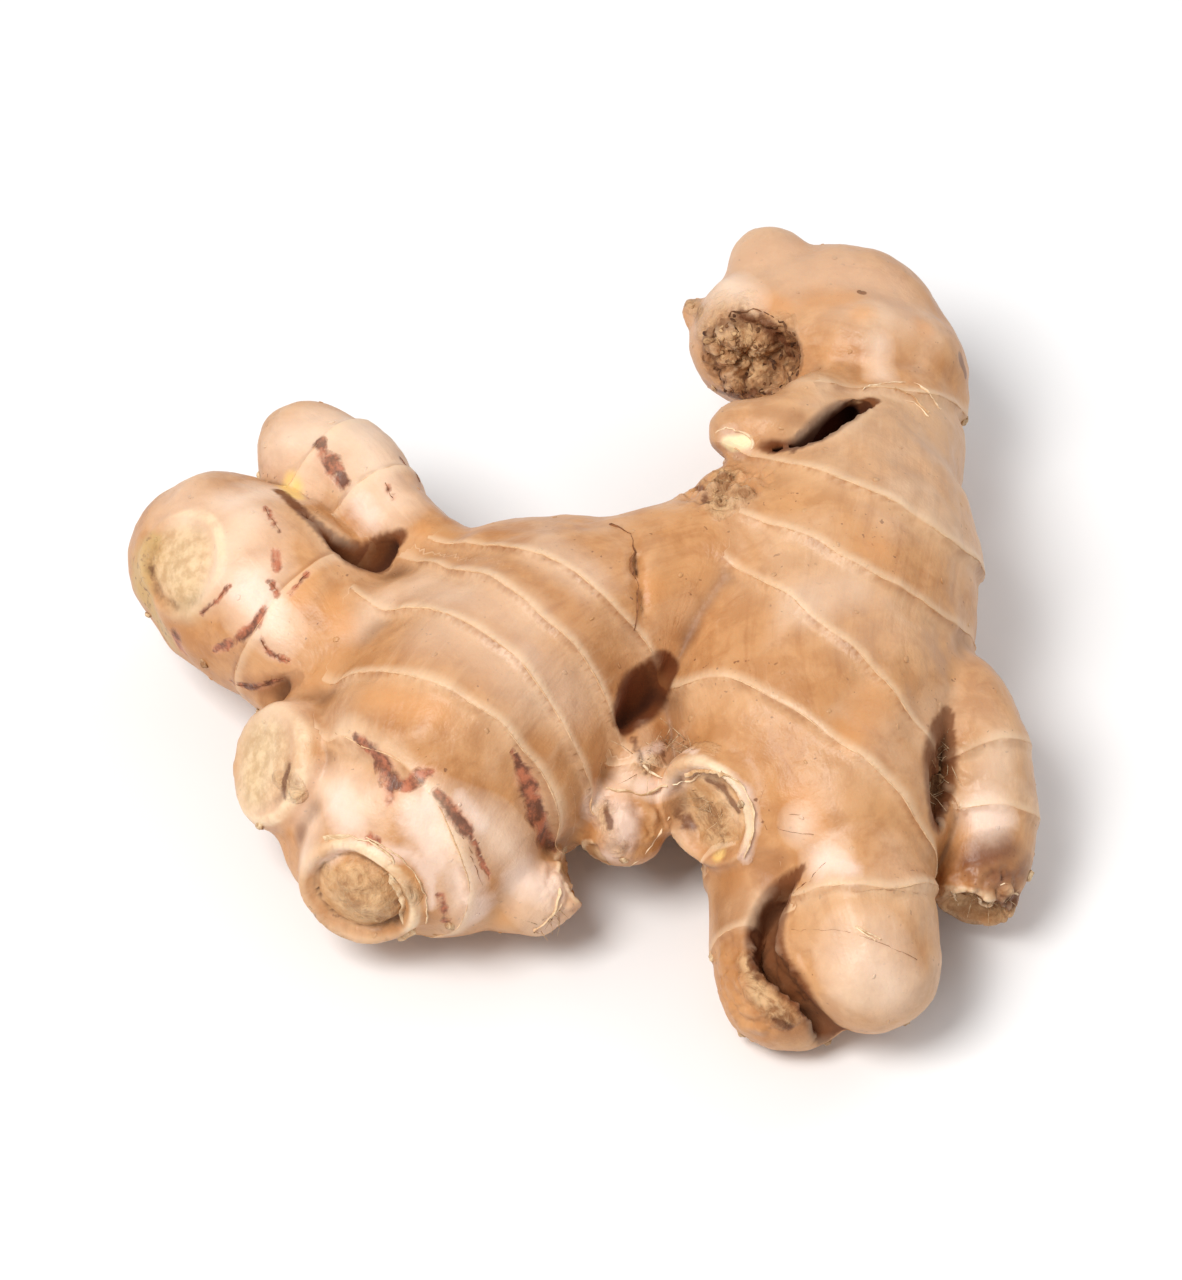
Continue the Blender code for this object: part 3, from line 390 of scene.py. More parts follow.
# The same as the torn edges, with dark crust
CRUSTS = [
    (0.35, [(17, 50.5, 30.5), (19.3, 51.6, 33), (22.5, 51.6, 34.4), (25.5, 50.6, 34.4), (28, 48.8, 33.6),
          (29.6, 46.4, 32.4), (29.2, 43.4, 30.6)]),
    (0.3, [(26, 41.4, 27.6), (22, 40.4, 26.6), (18.4, 41.4, 26.8), (16, 44.2, 26.8)]),
]
# Fine dark cracks
CRACKS = [
    (0.8, [(-17.3, -40.4, 28.9), (-16, -41.4, 26.8)]), (0.8, [(-16.3, -41.7, 26.6), (-14.7, -43, 21.8)]),
    (0.8, [(-26.9, 25, 32.3), (-24.2, 22.1, 30.3)]), (0.8, [(-28.9, 18, 35), (-27.8, 15.4, 34.7)]),
    (0.8, [(-54.5, -0.3, 27.8), (-51.9, -0.2, 30.9), (-50.1, 0.8, 32.9)]),
    (0.8, [(-44.5, 0.5, 34.3), (-43, -2.5, 34.2)]), (0.8, [(-41.6, -2.3, 34.4), (-38.9, 1.5, 35.2)]),
    (0.8, [(-45.5, 12.6, 35.8), (-43.3, 8.3, 35.9)]),
    (0.8, [(-45.8, -6.7, 30), (-44.4, -8.2, 29.1), (-41.6, -9.9, 29)]),
    (0.8, [(-50.5, -5, 19.3), (-47.4, -8.6, 22), (-42.7, -10.7, 25.9)]),
    (2.6, [(2.6, 6.6, 38.6), (5.4, 4, 40.2), (6, 0.5, 40.6), (6.1, -2.4, 40), (7, -4.8, 39.4)]),
    (1.6, [(7, -4.8, 39.4), (7, -8.8, 38.2), (6.2, -11.4, 37.6)]),
    (0.4, [(26.9, -49.9, 20.8), (33.7, -53.4, 25.1), (37.9, -54.9, 24.9), (43.8, -55.4, 21.4)]),
    (0.9, [(28.9, -45.5, 25.5), (26.5, -45.7, 21.4)]),
    (0.35, [(34.9, -48.9, 27.7), (40, -48.4, 27.7), (45.3, -46.1, 23.6)]),
    (0.35, [(29.4, -45.8, 25.9), (31.4, -43.7, 27.6)]),
    (0.6, [(23.5, -32.9, 30.8), (22.6, -35.2, 28.8), (23.7, -37.5, 26.7)]),
    (0.5, [(24.8, -36.2, 28.9), (28.5, -37.5, 30)]), (0.5, [(25.1, -38, 27.4), (30.1, -39.8, 28.6)]),
    (0.8, [(-35.9, -23.8, 31.4), (-32.6, -27.6, 33.9), (-29.9, -30, 34.6)]),
]
# Places with loose crumbs: points with a half width
GRITTY = [
    [(20, 49.5, 29.5, 3.2), (23.5, 48, 29.5, 2.8)], [(-27, -43, 20, 1), (-25.5, -43.5, 16, 1)],
    [(51, -38.5, 12.6, 1.4), (56, -38.6, 14, 1.2)], [(18.7, 17.9, 36.6, 1.6), (17.5, 10.8, 40, 1.2)],
    [(48, -22.4, 24, 0.8), (47.4, -26.4, 21.8, 0.8)], [(14.8, 60, 26.8, 0.8)],
]
# Places with loose dry fibres, in the same way
HAIRY = [
    [(48.2, -20.3, 26.4, 0.9), (47.9, -24.4, 24.2, 1.1), (46.7, -29, 22.8, 0.9)],
    [(6.7, -25.6, 25.9, 0.9), (7.7, -22.8, 26.2, 1), (10.5, -20.3, 24.9, 1.1), (14.5, -26.1, 29.5, 0.9)],
    [(14.8, -30.3, 24.1, 1), (16.9, -31.5, 22.9, 1.2)],
    [(51.8, -39, 14.2, 1), (55.2, -39.3, 13, 1), (58.4, -37.8, 13.7, 0.8)],
    [(-5, -42, 14, 0.9), (-7.7, -43.2, 12.2, 0.9)], [(-32.7, 8.5, 31.4, 0.9)],
]
# Places with crumbs finer than the rest of the skin: middle, reach and how deep the crumbs are
CRUMBLY = [
    ((22.5, 48, 28.5), 8, 2.6), ((-29.5, -41.5, 18.5), 7, 0.6), ((17, -34, 22), 6, 0.5),
    ((19, 13.5, 37.5), 7.5, 1.8), ((48.5, -25, 23.5), 6, 0.5), ((53.5, -38.5, 13), 6.5, 1.4),
    ((23, -54, 14), 8, 0.8), ((14.8, 60, 26), 4, 0.5), ((-5, -38, 14.5), 5, 1), ((5, -31, 20), 6, 0.7),
]
# Step of the paths that are laid on the skin, and how far every piece stays inside the box, in metres
DRAPE_STEP = 0.0005
HAIRBREADTH = 0.000001
# The camera: the point that it looks at, in the frame of the lobes, its tilt, distance and lens
CAMERA_AIM = (0.0, 0.0, 20.4)
CAMERA_ELEVATION = 50.0
CAMERA_DISTANCE = 0.8
CAMERA_LENS = 160.7
# Where the lamps point
LIT_PLACE = (0.0, 0.0, 0.02)
# How a lobe closes: pairs of reach and girth, as parts of its radius
ENDS = {
    "round": [(math.sin(math.radians(a)), math.cos(math.radians(a))) for a in (15, 30, 45, 58, 70, 80)],
    "flat": [(0.10, 0.985), (0.19, 0.93), (0.25, 0.84), (0.27, 0.72), (0.25, 0.5), (0.23, 0.25)],
}
# How far past its own skin a lobe still counts, in millimetres
SKIN_REACH = 2.2
# On a scar, as parts of its radius: its outline, rim, pale lip, groove, dished face and core
SCAR_EDGE = 1.15
SCAR_RIM = 0.84
SCAR_LIP = 0.86
SCAR_GROOVE = 0.68
SCAR_DISH = 0.72
SCAR_CORE = 0.66


def spline(stations, step):
    """Smooth curve through the stations, sampled about every step millimetres."""
    pts = np.array(stations, float)
    ends = np.vstack([2 * pts[0] - pts[1], pts, 2 * pts[-1] - pts[-2]])
    out = []
    for a, b, c, d in zip(ends, ends[1:], ends[2:], ends[3:]):
        count = max(2, int(round(np.linalg.norm((c - b)[:3]) / step)))
        for k in range(count):
            t = k / count
            out.append(0.5 * (2 * b + (c - a) * t + (2 * a - 5 * b + 4 * c - d) * t ** 2
                              + (3 * b - a - 3 * c + d) * t ** 3))
    out.append(pts[-1])
    return np.array(out)


def course(stations, step):
    """Middles, half widths and half heights along a lobe, and its directions: on, aside and up."""
    line = spline(stations, step)
    along = np.gradient(line[:, :3], axis=0)
    along /= np.linalg.norm(along, axis=1)[:, None]
    side = np.cross(along, (0.0, 0.0, 1.0))
    side /= np.linalg.norm(side, axis=1)[:, None]
    return line[:, :3], line[:, 3], line[:, 4], along, side, np.cross(side, along)


def beside(points, middle, ways):
    """The nearest ring to each point, and how far off it lies in each of the directions."""
    near = ((points[:, None, :] - middle[None, :, :]) ** 2).sum(axis=2).argmin(axis=1)
    off = points - middle[near]
    return near, *((off * way[near]).sum(axis=1) for way in ways)


def loft(stations, end):
    """Closed tube of rings round the curve, round at its start: points and faces."""
    middle, wide, high, along, side, upper = course(stations, LOFT_STEP)

    def cap(i, way, kind):
        radius = 0.5 * (wide[i] + high[i])
        return [(middle[i] + way * along[i] * reach * radius, side[i], upper[i],
                 wide[i] * girth, high[i] * girth) for reach, girth in ENDS[kind]]

    rings = cap(0, -1, "round")[::-1] + list(zip(middle, side, upper, wide, high)) + cap(-1, 1, end)
    turn = np.linspace(0.0, 2 * math.pi, LOFT_SIDES, endpoint=False)
    points = [tuple(centre + across * w * math.cos(t) + up * h * math.sin(t))
              for centre, across, up, w, h in rings for t in turn]
    last = len(points) - LOFT_SIDES
    faces = []
    for a in range(0, last, LOFT_SIDES):
        for k in range(LOFT_SIDES):
            b, n = a + LOFT_SIDES, (k + 1) % LOFT_SIDES
            faces.append((a + k, b + k, b + n, a + n))
    faces.append(tuple(range(LOFT_SIDES)))
    faces.append(tuple(reversed(range(last, last + LOFT_SIDES))))
    return points, faces


def placed(name, data):
    """A new object in the scene."""
    item = bpy.data.objects.new(name, data)
    bpy.context.scene.collection.objects.link(item)
    return item


def lofted(name, lofts):
    """One object that holds the closed tubes given."""
    points, faces = [], []
    for more_points, more_faces in lofts:
        shift = len(points)
        points += more_points
        faces += [tuple(i + shift for i in face) for face in more_faces]
    mesh = bpy.data.meshes.new(name)
    mesh.from_pydata(points, [], faces)
    mesh.update()
    return placed(name, mesh)


def modify(item, kind, **settings):
    """Adds one modifier to an object."""
    modifier = item.modifiers.new(kind.lower(), kind)
    for key, value in settings.items():
        setattr(modifier, key, value)
    return modifier


def taken(item):
    """The mesh that an object's modifiers make; the object is removed."""
    graph = bpy.context.evaluated_depsgraph_get()
    mesh = bpy.data.meshes.new_from_object(item.evaluated_get(graph))
    bpy.data.objects.remove(item, do_unlink=True)
    return mesh


def fused_mesh():
    """All lobes fused into one closed solid, hollowed and softened, in millimetres."""
    lump = lofted("lobes", [loft(stations, end) for end, stations in LOBES.values()])
    hollow = lofted("hollows", [loft(stations, "round") for stations in HOLLOWS.values()])
    modify(lump, "REMESH", mode="VOXEL", voxel_size=VOXEL)
    modify(hollow, "REMESH", mode="VOXEL", voxel_size=0.5 * VOXEL)
    modify(lump, "BOOLEAN", operation="DIFFERENCE", solver="EXACT", object=hollow)
    modify(lump, "REMESH", mode="VOXEL", voxel_size=VOXEL)
    modify(lump, "SMOOTH", factor=0.5, iterations=SOFTEN_STEPS)
    mesh = taken(lump)
    bpy.data.objects.remove(hollow, do_unlink=True)
    return mesh


def lobe_places(points):
    """For each lobe: where every point lies along, across and past it, and its share of the skin."""
    found = {}
    for name, (_end, stations) in LOBES.items():
        middle, wide, high, *ways = course(stations, LOFT_STEP)
        along = ways[0]
        run = np.concatenate([[0.0], np.cumsum(np.linalg.norm(np.diff(middle, axis=0), axis=1))])
        near, ahead, across, above = beside(points, middle, ways)
        girth = np.sqrt((across / wide[near]) ** 2 + (above / high[near]) ** 2)
        radius = 0.5 * (wide[near] + high[near])
        past = np.clip(np.abs(ahead) - LOFT_STEP, 0.0, None)
        true = np.sqrt(girth ** 2 + (past / radius) ** 2)
        onward = (points - middle[-1]) @ along[-1]
        aside = np.linalg.norm((points - middle[-1]) - onward[:, None] * along[-1], axis=1)
        found[name] = {
            "skin": np.exp(-((true - 1.0) * radius / SKIN_REACH) ** 2), "run": run[near] + ahead,
            "across": across, "above": above, "ahead": onward,
            "radial": aside / (0.5 * (wide[-1] + high[-1])),
        }
    total = sum(place["skin"] for place in found.values()) + 1e-6
    for place in found.values():
        place["share"] = place["skin"] / total
    return found


def hollow_places(points):
    """For each hollow: how far out from its middle line a point lies, in its own widths."""
    found = {}
    for name, stations in HOLLOWS.items():
        middle, wide, high, *ways = course(stations, 1.0)
        near, ahead, across, above = beside(points, middle, ways)
        past = np.abs(ahead) / (0.5 * (wide[near] + high[near]))
        found[name] = np.sqrt((across / (wide[near] + 0.4)) ** 2 + (above / (high[near] + 0.4)) ** 2
                              + past ** 2)
    return found


def grain(points, size, seed):
    """Soft noise between about -1 and 1 with lumps of the given size."""
    shift = Vector((seed * 17.3, seed * 5.1, seed * 9.7))
    return np.array([noise.noise(Vector(p) / size + shift) for p in points]) * 1.6


def unit(values):
    """Values kept between 0 and 1."""
    return np.clip(values, 0.0, 1.0)


def bell(values, middle, width):
    """1 at the middle, fading on both sides."""
    return np.exp(-((values - middle) / width) ** 2)


def edge_step(ahead):
    """Height across a sheath edge: the skin swells up to it, drops, and evens out again."""
    before = np.exp(np.minimum(ahead, 0.0) / EDGE_REACH)
    after = -0.6 * np.exp(-np.maximum(ahead, 0.0) / EDGE_REACH)
    blend = np.exp(-(np.maximum(ahead, 0.0) / EDGE_DROP) ** 2)
    return np.where(ahead < 0.0, before, after + 1.6 * blend)


def scar_face(place):
    """1 on the broken end of a lobe, 0 on the rest of it."""
    return unit((place["ahead"] + 1.0) / 1.5) * (place["ahead"] < 6.0) * (place["radial"] < SCAR_EDGE)


def ring_fields(points, places, wave):
    """Signed distance past every sheath edge and collar, with the share of its lobe."""
    fields = []
    for name, *corners in SHEATH_EDGES:
        p, q, r = (np.array(corner, float) for corner in corners)
        square = np.cross(q - p, r - p)
        square /= np.linalg.norm(square)
        if square[1] > 0:
            square = -square
        share = sum(places[n]["share"] for n in SAME_SKIN.get(name, (name,)))
        fields.append(((points - q) @ square + 0.5 * wave, share, 1.0))
    for name, distance, strength in COLLARS:
        fields.append((places[name]["run"] - distance + 0.5 * wave, places[name]["share"], strength))
    return fields


def crumbs(points):
    """Height of the crumbs in the crumbly places, in millimetres."""
    height = np.zeros(len(points))
    for middle, reach, deep in CRUMBLY:
        gap = np.linalg.norm(points - np.array(middle), axis=1) / reach
        height = np.maximum(height, deep * unit(1.6 * (1.0 - gap ** 2)))
    return height * (np.abs(grain(points, 3.2, 11)) + 0.5 * np.abs(grain(points, 1.4, 12)) - 0.55)


def relief(points, places, rings):
    """How far the skin moves outward at each point, in millimetres."""
    move = np.zeros(len(points))
    for ahead, share, strength in rings:
        move += strength * EDGE_RISE * edge_step(ahead) * unit(share * 1.3)
    for name, (deep, rim, core, *_lip) in SCARS.items():
        radial = places[name]["radial"]
        dish = 1.0 / (1.0 + np.exp((radial - SCAR_DISH) / 0.05))
        dome = unit(1.0 - (radial / SCAR_CORE) ** 2) ** 0.7
        move += scar_face(places[name]) * (rim * bell(radial, SCAR_RIM, 0.09) - deep * dish + core * dome)
    middle, reach, height = HEALED
    gap = np.linalg.norm(points - np.array(middle), axis=1) / reach
    move += height * unit(1.0 - gap ** 2)
    extra = 1.0 + sum(places[n]["share"] * (k - 1.0) for n, k in ROUGH.items())
    for i, (size, reach) in enumerate(LUMPS):
        move += reach * extra * grain(points, size, i)
    move += crumbs(points)
    for i, (size, reach) in enumerate(FINE_LUMPS):
        move += reach * grain(points, size, 20 + i)
    return move


def read(items, key, width=3, kind=float):
    """One value of every item of a mesh, as the rows of an array."""
    flat = np.empty(len(items) * width, dtype=kind)
    items.foreach_get(key, flat)
    return flat.reshape(-1, width)


def add_field(mesh, name, values, kind="FLOAT"):
    """Stores a value, or a vector, for each point of a mesh."""
    layer = mesh.attributes.new(name, kind, "POINT")
    key = "value" if kind == "FLOAT" else "vector"
    layer.data.foreach_set(key, np.asarray(values, dtype=np.float32).ravel())


def move_points(mesh, points):
    mesh.vertices.foreach_set("co", points.ravel())
    mesh.update()


def strokes(points, rows):
    """1 along the strokes, 0.5 at their half width, 0 at twice that."""
    best = np.zeros(len(points))
    for row in rows:
        nodes = np.array(row if len(row) > 1 else [row[0], row[0]], float)
        for start, end in zip(nodes[:-1], nodes[1:]):
            line = end[:3] - start[:3]
            t = unit(((points - start[:3]) @ line) / max(line @ line, 1e-9))
            gap = np.linalg.norm(points - start[:3] - t[:, None] * line, axis=1)
            reach = start[3] + t * (end[3] - start[3])
            best = np.maximum(best, unit(1.0 - 0.5 * gap / reach))
    return best


def rim_path(name, _girth, part, first, last):
    """Path along the rim of a scar, between two angles."""
    middle, wide, high, along, side, upper = (row[-1] for row in course(LOBES[name][1], LOFT_STEP))
    radius = 0.5 * (wide + high) * part
    turns = [math.radians(a) for a in range(first, last + 1, 12)]
    return [middle + 1.5 * along + radius * (math.cos(t) * side + math.sin(t) * upper) for t in turns]


def refine(mesh):
    """Splits the faces of the crumbly places, which need to be finer than the rest."""
    body = bmesh.new()
    body.from_mesh(mesh)
    places = [(Vector(middle), reach) for middle, reach, _deep in CRUMBLY]
    edges = [e for e in body.edges
             if any((e.verts[0].co - middle).length < reach for middle, reach in places)]
    bmesh.ops.subdivide_edges(body, edges=edges, cuts=1, use_grid_fill=True)
    body.to_mesh(mesh)
    body.free()


def crossings(points, normals, triangles, field):
    """Where a field is zero on the edges of triangles, and which of those spots are joined."""
    spots, joins = {}, {}
    for tri in triangles:
        ends = []
        for a, b in zip(tri, np.roll(tri, -1)):
            if (field[a] > 0.0) != (field[b] > 0.0):
                low, high = key = (min(a, b), max(a, b))
                t = field[low] / (field[low] - field[high])
                spots[key] = (points[low] * (1 - t) + points[high] * t,
                              normals[low] * (1 - t) + normals[high] * t)
                ends.append(key)
        joins.setdefault(ends[0], []).append(ends[1])
        joins.setdefault(ends[1], []).append(ends[0])
    return spots, joins


def level_lines(points, normals, triangles, field, keep):
    """Lines on the skin where a field is zero: lists of points and normals, in order."""
    signs = field[triangles] > 0.0
    mixed = keep[triangles].all(axis=1) & signs.any(axis=1) & ~signs.all(axis=1)
    spots, joins = crossings(points, normals, triangles[mixed], field)
    lines, used = [], set()
    for start in [k for k in joins if len(joins[k]) == 1] + list(joins):
        chain, onward = [], [] if start in used else [start]
        while onward:
            chain.append(onward[0])
            used.add(onward[0])
            onward = [k for k in joins[onward[0]] if k not in used]
        if len(chain) > 12:
            lines.append(([spots[k][0] for k in chain], [spots[k][1] for k in chain]))
    return lines


def smooth_line(points, rounds):
    """Evens out a line without moving its ends."""
    line = np.array(points)
    for _ in range(rounds):
        line[1:-1] = 0.25 * line[:-2] + 0.5 * line[1:-1] + 0.25 * line[2:]
    return line


def hollowness(mesh, points):
    """How far each point lies in a crease: positive below its wide neighbourhood."""
    a, b = read(mesh.edges, "vertices", 2, np.int64).T
    count = np.bincount(a, minlength=len(points)) + np.bincount(b, minlength=len(points))
    soft = points.copy()
    for _ in range(40):
        total = np.stack([np.bincount(a, column[b], len(points)) + np.bincount(b, column[a], len(points))
                          for column in soft.T], axis=1)
        soft = 0.4 * soft + 0.6 * total / count[:, None]
    return ((soft - points) * read(mesh.vertex_normals, "vector")).sum(axis=1)


def add_ring_fields(mesh, rings):
    """Young skin past each sheath edge, the nearest edge, and the tone of each length."""
    count = len(mesh.vertices)
    young, tone, edge = np.zeros(count), np.zeros(count), np.full(count, 9.0)
    for i, (ahead, share, strength) in enumerate(rings):
        past = unit(ahead / 0.5 + 0.3) * np.exp(-np.maximum(ahead, 0.0) / 2.2)
        young = np.maximum(young, unit(1.6 * share - 0.2) * strength * past)
        tone += LENGTH_TONES[i % len(LENGTH_TONES)] * share * np.clip(ahead / 0.6, -1.0, 1.0)
        edge = np.where((np.abs(ahead) < np.abs(edge)) & (share > 0.3), ahead, edge)
    add_field(mesh, "young", young)
    add_field(mesh, "edge", edge)
    add_field(mesh, "close", unit(3.0 - np.abs(edge)))
    add_field(mesh, "tone", 0.5 + 0.25 * tone)


def add_scar_fields(mesh, points, places):
    """The pale lip, dark groove and woody core of each scar."""
    lip, groove, core = np.zeros((3, len(points)))
    for name, (*_heights, way, least, dark) in SCARS.items():
        radial, face = places[name]["radial"], scar_face(places[name])
        off = points - np.array(LOBES[name][1][-1][:3])
        off /= np.linalg.norm(off, axis=1)[:, None] + 1e-6
        lip = np.maximum(lip, face * bell(radial, SCAR_LIP, 0.10)
                         * np.clip(0.4 + 1.2 * (off @ np.array(way)), least, 1.0))
        groove = np.maximum(groove, face * bell(radial, SCAR_GROOVE, 0.09)
                            * unit(0.2 + 1.2 * (off @ np.array(dark))))
        core = np.maximum(core, face * unit((0.75 - radial) / 0.2))
    add_field(mesh, "lip", lip)
    add_field(mesh, "groove", groove)
    add_field(mesh, "core", core)


def add_shade_fields(mesh, points):
    """Painted shade in the hollows, the rim of the old scar, and where warts and nubs grow."""
    hollows = hollow_places(points)
    shade = np.zeros(len(points))
    for name, strength in SHADED.items():
        shade = np.maximum(shade, strength * unit((1.5 - hollows[name]) / 0.5))
    facing = read(mesh.vertex_normals, "vector")[:, 2]
    add_field(mesh, "shade", shade)
    add_field(mesh, "rim", unit(1.0 - np.abs(hollows["head_scar"] - 1.05) / 0.35))
    add_field(mesh, "low", unit(0.25 - facing) * (shade < 0.1))
    add_field(mesh, "bare", 1.0 - 2.0 * shade)
    return shade


def add_growth_fields(mesh, places):
    """Place along and across the lobes, in metres, and how clearly a point is on one lobe."""
    grown = sum(place["share"][:, None]
                * np.stack([place["run"] * 0.10, place["across"], place["above"]], axis=1)
                for place in places.values())
    clear = np.max([place["share"] for place in places.values()], axis=0)
    add_field(mesh, "grown", grown * MM, "FLOAT_VECTOR")
    add_field(mesh, "clear", unit((clear - 0.5) / 0.4))


def skin_mesh():
    """The finished skin in metres with its fields, its sheath edges, and a way to lay paths on it."""
    mesh = fused_mesh()
    refine(mesh)
    base = read(mesh.vertices, "co")
    places = lobe_places(base)
    rings = ring_fields(base, places, grain(base, 7.0, 3))
    move = relief(base, places, rings)
    raised = base + read(mesh.vertex_normals, "vector") * move[:, None]
    points = raised.copy()
    points[:, 2] = np.maximum(points[:, 2] - REST_Z, 0.0)
    move_points(mesh, points)

    # How deep each point lies in a crease: creases get painted shade and raised skin a painted highlight
    add_field(mesh, "deep", np.clip(hollowness(mesh, points) / 1.6, -1.0, 1.0))
    for name, rows in MARKS.items():
        add_field(mesh, name, strokes(raised, rows))
    add_field(mesh, "hairy", strokes(raised, HAIRY))
    add_field(mesh, "gritty", strokes(raised, GRITTY))
    add_ring_fields(mesh, rings)
    add_scar_fields(mesh, raised, places)
    shade = add_shade_fields(mesh, raised)
    add_growth_fields(mesh, places)

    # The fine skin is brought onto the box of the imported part
    low, high = (np.array(corner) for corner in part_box("ginger_root"))
    own_low, own_high = points.min(axis=0) * MM, points.max(axis=0) * MM
    scale = (high - low) / (own_high - own_low)

    def fit(raw):
        return (raw * MM - own_low) * scale + low

    normals = read(mesh.vertex_normals, "vector")
    mesh.calc_loop_triangles()
    triangles = read(mesh.loop_triangles, "vertices", 3, np.int64)
    lips = []
    for ahead, share, strength in rings:
        keep = (share > 0.40) & (shade < 0.3)
        for line, ups in level_lines(points, normals, triangles, ahead - 0.1, keep):
            lips.append((fit(smooth_line(line, 6)), np.array(ups), strength))
    move_points(mesh, fit(points))
    tree = BVHTree.FromPolygons([Vector(p) for p in read(mesh.vertices, "co")], triangles.tolist())

    def drape(rows):
        """Rows of a thickness and a path of a few points, drawn close along the finished skin."""
        lines = []
        for girth, path in rows:
            nodes = np.array([p[:3] for p in path], float)
            nodes[:, 2] -= REST_Z
            nodes = fit(nodes)
            if len(nodes) > 2:
                fine = spline(nodes, DRAPE_STEP)
            else:
                count = 2 + int(np.linalg.norm(nodes[-1] - nodes[0]) / DRAPE_STEP)
                fine = np.linspace(nodes[0], nodes[-1], count)
            found = [tree.find_nearest(Vector(p)) for p in fine]
            lines.append((smooth_line([f[0] for f in found], 1), np.array([f[1] for f in found]), girth))
        return lines

    return mesh, lips, drape, fit


# Materials

def colour(red, green, blue):
    """A colour as seen on screen, 0 to 255, turned into a scene-linear one."""
    out = []
    for value in (red, green, blue):
        v = value / 255.0
        out.append(v / 12.92 if v <= 0.04045 else ((v + 0.055) / 1.055) ** 2.4)
    return (*out, 1.0)


class Wiring:
    """Short ways to add nodes to one tree and join them."""

    def __init__(self, tree):
        self.tree = tree

    def feed(self, socket, value):
        if isinstance(value, bpy.types.NodeSocket):
            self.tree.links.new(value, socket)
        else:
            socket.default_value = value

    def add(self, kind, inputs=None, **settings):
        """A node with its settings made and its inputs joined or set."""
        node = self.tree.nodes.new(kind)
        for key, value in settings.items():
            setattr(node, key, value)
        for label, value in (inputs or {}).items():
            self.feed(node.inputs[label], value)
        return node

    def math(self, operation, a, b=0.0, clamp=False):
        return self.add("ShaderNodeMath", {0: a, 1: b}, operation=operation, use_clamp=clamp).outputs[0]

    def times(self, a, b):
        return self.math("MULTIPLY", a, b)

    def plus(self, a, b, clamp=False):
        return self.math("ADD", a, b, clamp)

    def minus(self, a, b):
        return self.math("SUBTRACT", a, b)

    def vector_math(self, operation, a, inputs):
        return self.add("ShaderNodeVectorMath", {0: a, **inputs}, operation=operation).outputs[0]

    def mix(self, factor, a, b, blend="MIX"):
        sockets = {0: factor, 6: a, 7: b}
        return self.add("ShaderNodeMix", sockets, data_type="RGBA", blend_type=blend).outputs[2]

    def ramp(self, value, low, high, start=0.0, end=1.0):
        """start below low, end above high, soft between."""
        limits = {"Value": value, "From Min": low, "From Max": high, "To Min": start, "To Max": end}
        return self.add("ShaderNodeMapRange", limits, interpolation_type="SMOOTHSTEP").outputs["Result"]

    def noise(self, vector, scale, detail=2.0, rough=0.5, distortion=0.0):
        return self.add("ShaderNodeTexNoise", {
            "Vector": vector, "Scale": scale, "Detail": detail, "Roughness": rough,
            "Distortion": distortion}).outputs["Fac"]

    def field(self, name, output="Fac"):
        return self.add("ShaderNodeAttribute", attribute_name=name).outputs[output]

    def group(self, tree, **values):
        return self.add("ShaderNodeGroup", values, node_tree=tree).outputs


def new_tree(name, kind, inputs, outputs):
    """A node tree with named sockets: (kind, name, value) going in, (kind, name) out."""
    tree = bpy.data.node_groups.new(name, kind + "NodeTree")
    for sort, label, value in inputs:
        socket = tree.interface.new_socket(label, in_out="INPUT", socket_type="NodeSocket" + sort)
        if value is not None:
            socket.default_value = value
    for sort, label in outputs:
        tree.interface.new_socket(label, in_out="OUTPUT", socket_type="NodeSocket" + sort)
    w = Wiring(tree)
    return tree, w, w.add("NodeGroupInput").outputs, w.add("NodeGroupOutput").inputs


def ragged_patch_group():
    """Turns a soft field into a patch with a torn edge."""
    group, w, take, give = new_tree(
        "Ragged patch", "Shader",
        [("Vector", "Vector", None), ("Float", "Field", 0.0), ("Float", "Scale", 500.0),
         ("Float", "Tear", 0.5), ("Float", "Softness", 0.06)],
        [("Float", "Mask")])
    torn = w.minus(w.noise(take["Vector"], take["Scale"], 4.0, 0.6, 0.5), 0.5)
    level = w.plus(take["Field"], w.times(torn, take["Tear"]))
    level = w.times(level, w.ramp(take["Field"], 0.05, 0.25))
    over = w.math("DIVIDE", w.minus(level, 0.5), take["Softness"])
    w.feed(give["Mask"], w.plus(over, 0.5, clamp=True))
    return group


